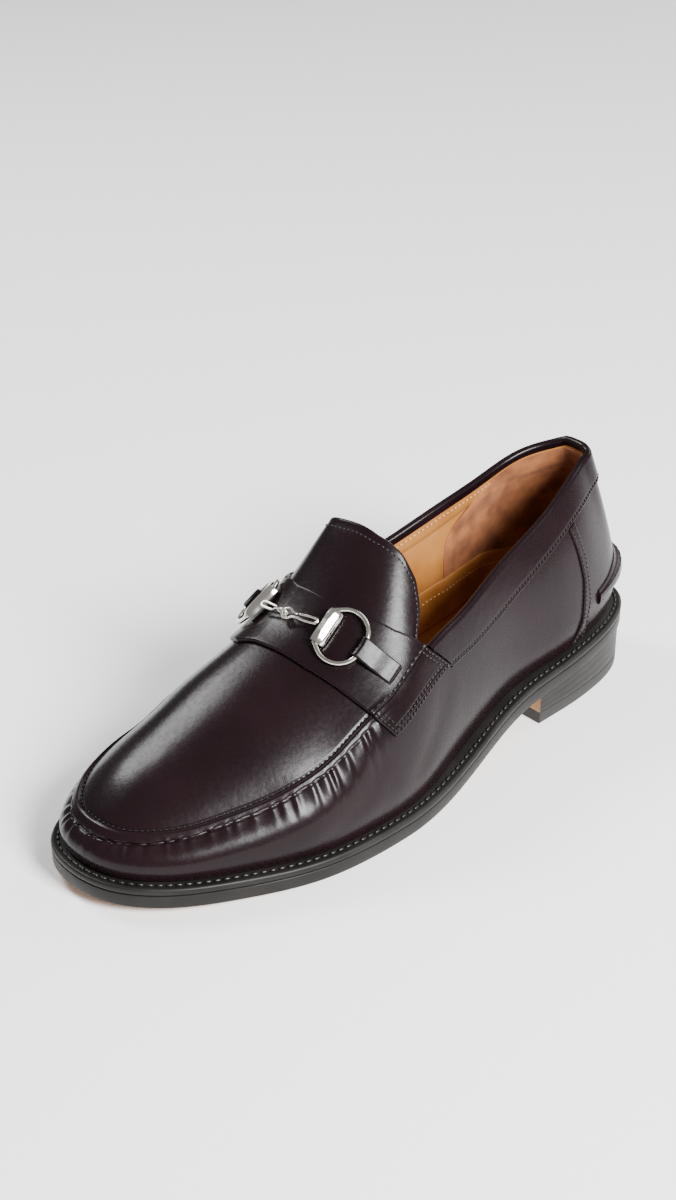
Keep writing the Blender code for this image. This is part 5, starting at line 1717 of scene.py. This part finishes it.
def grip_suede():
    """Suede of the heel grip: russet, with a short nap that takes the light softly."""
    made, tree, shader, place = start_material(
        "russet suede", hex_colour("8f5833"), 0.9, IOR=1.4, Sheen_Weight=0.12, Sheen_Roughness=0.4
    )
    mottle(tree, shader, place, "6a3d22", "8f5833", 110.0, 5.0)
    bumps(tree, shader, (noise(tree, place, 2600.0, 3.0), 0.5, 0.0002))
    return made


def dressed_edge(name, dark, light):
    """Sole leather, cut, inked and waxed at its edge: near black with faint fibre lines along it."""
    made, tree, shader, place = start_material(
        name, hex_colour(dark), 0.42, IOR=1.46, Specular_IOR_Level=0.22
    )
    mottle(tree, shader, place, dark, light, 60.0)
    flat = add_node(tree, "ShaderNodeMapping", {"Vector": place, "Scale": (60.0, 60.0, 900.0)}).outputs[0]
    fibres = noise(tree, flat, 1.0, 4.0)
    varied(tree, shader, "Roughness", fibres, 0.36, 0.54)
    bumps(tree, shader, (fibres, 0.25, 0.00012))
    return made


def sole_leather():
    """Oak-bark sole leather under the shoe and on the heel's breast: tan, buffed and matt."""
    made, tree, shader, place = start_material("tan sole leather", hex_colour("a98259"), 0.6, IOR=1.45)
    mottle(tree, shader, place, "8a6743", "a98259", 90.0, 5.0)
    bumps(tree, shader, (noise(tree, place, 1200.0, 3.0), 0.3, 0.00015))
    return made


def plain_finish(name, colour, roughness, ior, scale, strength):
    """A material of one colour with a fine grain."""
    made, tree, shader, place = start_material(name, hex_colour(colour), roughness, IOR=ior)
    bumps(tree, shader, (noise(tree, place, scale, 2.0), strength, 0.0001))
    return made


def lift_rubber():
    """Moulded rubber of the top lift: black and matt."""
    return plain_finish("moulded black rubber", "171614", 0.6, 1.5, 1500.0, 0.3)


def waxed_thread(name, colour):
    """Waxed linen thread: a fine twist and a dull shine."""
    return plain_finish(name, colour, 0.42, 1.5, 3000.0, 0.4)


def needle_hole():
    """Painted shade of a needle hole: a black matt bead that reads as a dark dot between two stitches."""
    return plain_finish("waxed needle hole", "060404", 0.8, 1.3, 2000.0, 0.3)


def polished_nickel(settings):
    """Zinc casting, nickel plated and polished: warm white metal with a clear, slightly soft mirror."""
    made, tree, shader, place = start_material("polished nickel plate", settings.metal_colour, 0.12, 1.0)
    swirl = noise(tree, place, 400.0, 3.0)
    varied(tree, shader, "Roughness", swirl, 0.08, 0.20)
    bumps(tree, shader, (swirl, 0.06, 0.0001))
    return made


PAINTS = {}


def paints(*names):
    """The materials of these names. All of the shoe's materials are made once."""
    if not PAINTS:
        PAINTS.update(
            calf=polished_calf(bpy.context.scene.loafer_finish),
            lining=lining_calf(),
            suede=grip_suede(),
            edge=dressed_edge("dressed sole edge", "161513", "1d1b19"),
            welt=dressed_edge("blackened welt", "121110", "1c1a18"),
            heel=dressed_edge("dressed heel stack", "181715", "1e1c1a"),
            sole=sole_leather(),
            rubber=lift_rubber(),
            thread=waxed_thread("dark waxed thread", "1c1416"),
            welt_thread=waxed_thread("black welt thread", "16130f"),
            pale_thread=waxed_thread("pale lining thread", "c9a27a"),
            # Painted shade of the needle holes, as black matt beads
            hole=needle_hole(),
            nickel=polished_nickel(bpy.context.scene.loafer_bit),
        )
    return [PAINTS[name] for name in names]


# Studio

CAMERA_PLACE = (0.49631, -0.47473, 0.48277)
CAMERA_AIM = (-0.06792, 0.04593, 0.02940)
# Focal length over the photograph's height
CAMERA_FOCUS = 1957.0 / 1200.0
SENSOR_HEIGHT = 24.0
SOFTBOXES = (
    # name, place, aim, size, watts
    ("key softbox", (1.34, -0.05, 1.02), (0, 0, 0), (0.60, 0.60), 102),
    ("tongue softbox", (-1.05, -0.25, 1.25), (0, 0, 0.05), (0.45, 0.45), 20),
    ("back softbox", (0.1, 1.9, 1.3), (0, 0, 0.05), (1.6, 1.0), 26),
)
FLOOR_REACH = 6.0
FLOOR_LEVEL = -0.0002


def aim_from(name, data, place, aim):
    """A lamp or camera at a place, turned to look at its aim."""
    made = bpy.data.objects.new(name, data)
    made.location = place
    made.rotation_euler = (Vector(aim) - Vector(place)).to_track_quat("-Z", "Y").to_euler()
    bpy.context.scene.collection.objects.link(made)
    return made


def build_stage(settings):
    """The camera at the photograph's angle, the paper floor, the soft light all round and the softboxes."""
    scene = bpy.context.scene
    lens = bpy.data.cameras.new("camera")
    lens.sensor_fit = "VERTICAL"
    lens.sensor_height = SENSOR_HEIGHT
    lens.lens = SENSOR_HEIGHT * CAMERA_FOCUS
    lens.clip_end = 50.0
    scene.camera = aim_from("camera", lens, CAMERA_PLACE, CAMERA_AIM)

    paper = start_material(
        "pale seamless floor", settings.floor_colour, 0.9, IOR=1.4, Specular_IOR_Level=0.2
    )[0]
    square = ((-1, -1), (1, -1), (1, 1), (-1, 1))
    corners = [(x * FLOOR_REACH, y * FLOOR_REACH, FLOOR_LEVEL) for x, y in square]
    flesh("floor", corners, [(0, 1, 2, 3)], paper, body=None)

    scene.world = bpy.data.worlds.new("studio")
    scene.world.use_nodes = True
    sky = scene.world.node_tree.nodes["Background"].inputs
    sky["Color"].default_value = (0.86, 0.86, 0.87, 1)
    sky["Strength"].default_value = settings.fill
    for name, place, aim, size, watts in SOFTBOXES:
        lamp = bpy.data.lights.new(name, "AREA")
        lamp.shape = "RECTANGLE"
        lamp.size, lamp.size_y = size
        lamp.energy = watts * settings.light_power
        aim_from(name, lamp, place, aim)


# Add-on


class LoaferFinish(bpy.types.PropertyGroup):
    """Finish of the leather"""

    grain_size: bpy.props.FloatProperty(
        name="Pore spacing",
        description="Distance between the pores of the calf",
        default=0.0005,
        min=0.0001,
        max=0.003,
        precision=5,
        unit="LENGTH",
    )


class LoaferBit(bpy.types.PropertyGroup):
    """Finish of the bit"""

    metal_colour: bpy.props.FloatVectorProperty(
        name="Metal",
        description="Colour of the polished plating",
        subtype="COLOR",
        size=3,
        min=0,
        max=1,
        default=hex_colour("d9d4cb"),
    )


class LoaferStudio(bpy.types.PropertyGroup):
    """Floor and light"""

    floor_colour: bpy.props.FloatVectorProperty(
        name="Floor",
        description="Colour of the seamless floor",
        subtype="COLOR",
        size=3,
        min=0,
        max=1,
        default=hex_colour("f7f6f6"),
    )
    light_power: bpy.props.FloatProperty(
        name="Light",
        description="Power of all the softboxes",
        default=1.0,
        min=0.0,
        max=10.0,
        subtype="FACTOR",
    )
    fill: bpy.props.FloatProperty(
        name="Fill", description="Strength of the soft light all round", default=0.38, min=0.0, max=3.0
    )


class LoaferOperator:
    bl_options = {"REGISTER"}


class LOAFER_OT_upper(LoaferOperator, bpy.types.Operator):
    """Upper with its moccasin seam, pleats, creases and lining"""

    bl_idname = "loafer.upper"
    bl_label = "Upper"

    def execute(self, context):
        build_upper(*paints("calf", "lining"))
        return {"FINISHED"}


class LOAFER_OT_tongue(LoaferOperator, bpy.types.Operator):
    """Tongue with its lining"""

    bl_idname = "loafer.tongue"
    bl_label = "Tongue"

    def execute(self, context):
        build_tongue(*paints("calf", "lining"))
        return {"FINISHED"}


class LOAFER_OT_strap(LoaferOperator, bpy.types.Operator):
    """Saddle strap and its wings"""

    bl_idname = "loafer.strap"
    bl_label = "Saddle strap"

    def execute(self, context):
        build_strap(*paints("calf"))
        return {"FINISHED"}


class LOAFER_OT_collar(LoaferOperator, bpy.types.Operator):
    """Collar band with its facing, counter strips and heel lip"""

    bl_idname = "loafer.collar"
    bl_label = "Collar and counter"

    def execute(self, context):
        build_band(*paints("calf", "lining"))
        build_counter(*paints("calf"))
        return {"FINISHED"}


class LOAFER_OT_inside(LoaferOperator, bpy.types.Operator):
    """Sock lining and heel grip"""

    bl_idname = "loafer.inside"
    bl_label = "Inside"

    def execute(self, context):
        build_inside(*paints("lining", "suede"))
        return {"FINISHED"}


class LOAFER_OT_sole(LoaferOperator, bpy.types.Operator):
    """Outsole, welt, heel stack and top lift"""

    bl_idname = "loafer.sole"
    bl_label = "Sole and heel"

    def execute(self, context):
        build_sole(*paints("edge", "welt", "heel", "rubber", "sole"))
        return {"FINISHED"}


class LOAFER_OT_bit(LoaferOperator, bpy.types.Operator):
    """Snaffle bit and the keepers that hold it"""

    bl_idname = "loafer.bit"
    bl_label = "Bit"

    def execute(self, context):
        build_bit(*paints("nickel", "calf"))
        return {"FINISHED"}


class LOAFER_OT_stitches(LoaferOperator, bpy.types.Operator):
    """All the stitch rows"""

    bl_idname = "loafer.stitches"
    bl_label = "Stitches"

    def execute(self, context):
        build_stitches(*paints("thread", "welt_thread", "pale_thread", "hole"))
        return {"FINISHED"}


class LOAFER_OT_stage(LoaferOperator, bpy.types.Operator):
    """Floor, lights and camera"""

    bl_idname = "loafer.stage"
    bl_label = "Studio"

    def execute(self, context):
        build_stage(context.scene.loafer_studio)
        return {"FINISHED"}


OPERATORS = (
    LOAFER_OT_stage,
    LOAFER_OT_sole,
    LOAFER_OT_upper,
    LOAFER_OT_tongue,
    LOAFER_OT_strap,
    LOAFER_OT_collar,
    LOAFER_OT_inside,
    LOAFER_OT_bit,
    LOAFER_OT_stitches,
)


class LOAFER_PT_panel(bpy.types.Panel):
    """Sizes, colours and pieces of the loafer"""

    bl_idname = "LOAFER_PT_panel"
    bl_label = "Bit loafer"
    bl_space_type = "VIEW_3D"
    bl_region_type = "UI"
    bl_category = "Loafer"

    def draw(self, context):
        for name in SETTINGS:
            group = getattr(context.scene, name)
            for key in group.bl_rna.properties.keys():
                if key not in ("rna_type", "name"):
                    self.layout.prop(group, key)
        for operator in OPERATORS:
            self.layout.operator(operator.bl_idname)


SETTINGS = {"loafer_finish": LoaferFinish, "loafer_bit": LoaferBit, "loafer_studio": LoaferStudio}
CLASSES = (*SETTINGS.values(), *OPERATORS, LOAFER_PT_panel)


def register():
    for each in CLASSES:
        bpy.utils.register_class(each)
    for name, group in SETTINGS.items():
        setattr(bpy.types.Scene, name, bpy.props.PointerProperty(type=group))


def unregister():
    for name in SETTINGS:
        delattr(bpy.types.Scene, name)
    for each in reversed(CLASSES):
        bpy.utils.unregister_class(each)


def main():
    register()
    for operator in OPERATORS:
        group, name = operator.bl_idname.split(".")
        getattr(getattr(bpy.ops, group), name)()


if __name__ == "__main__":
    main()
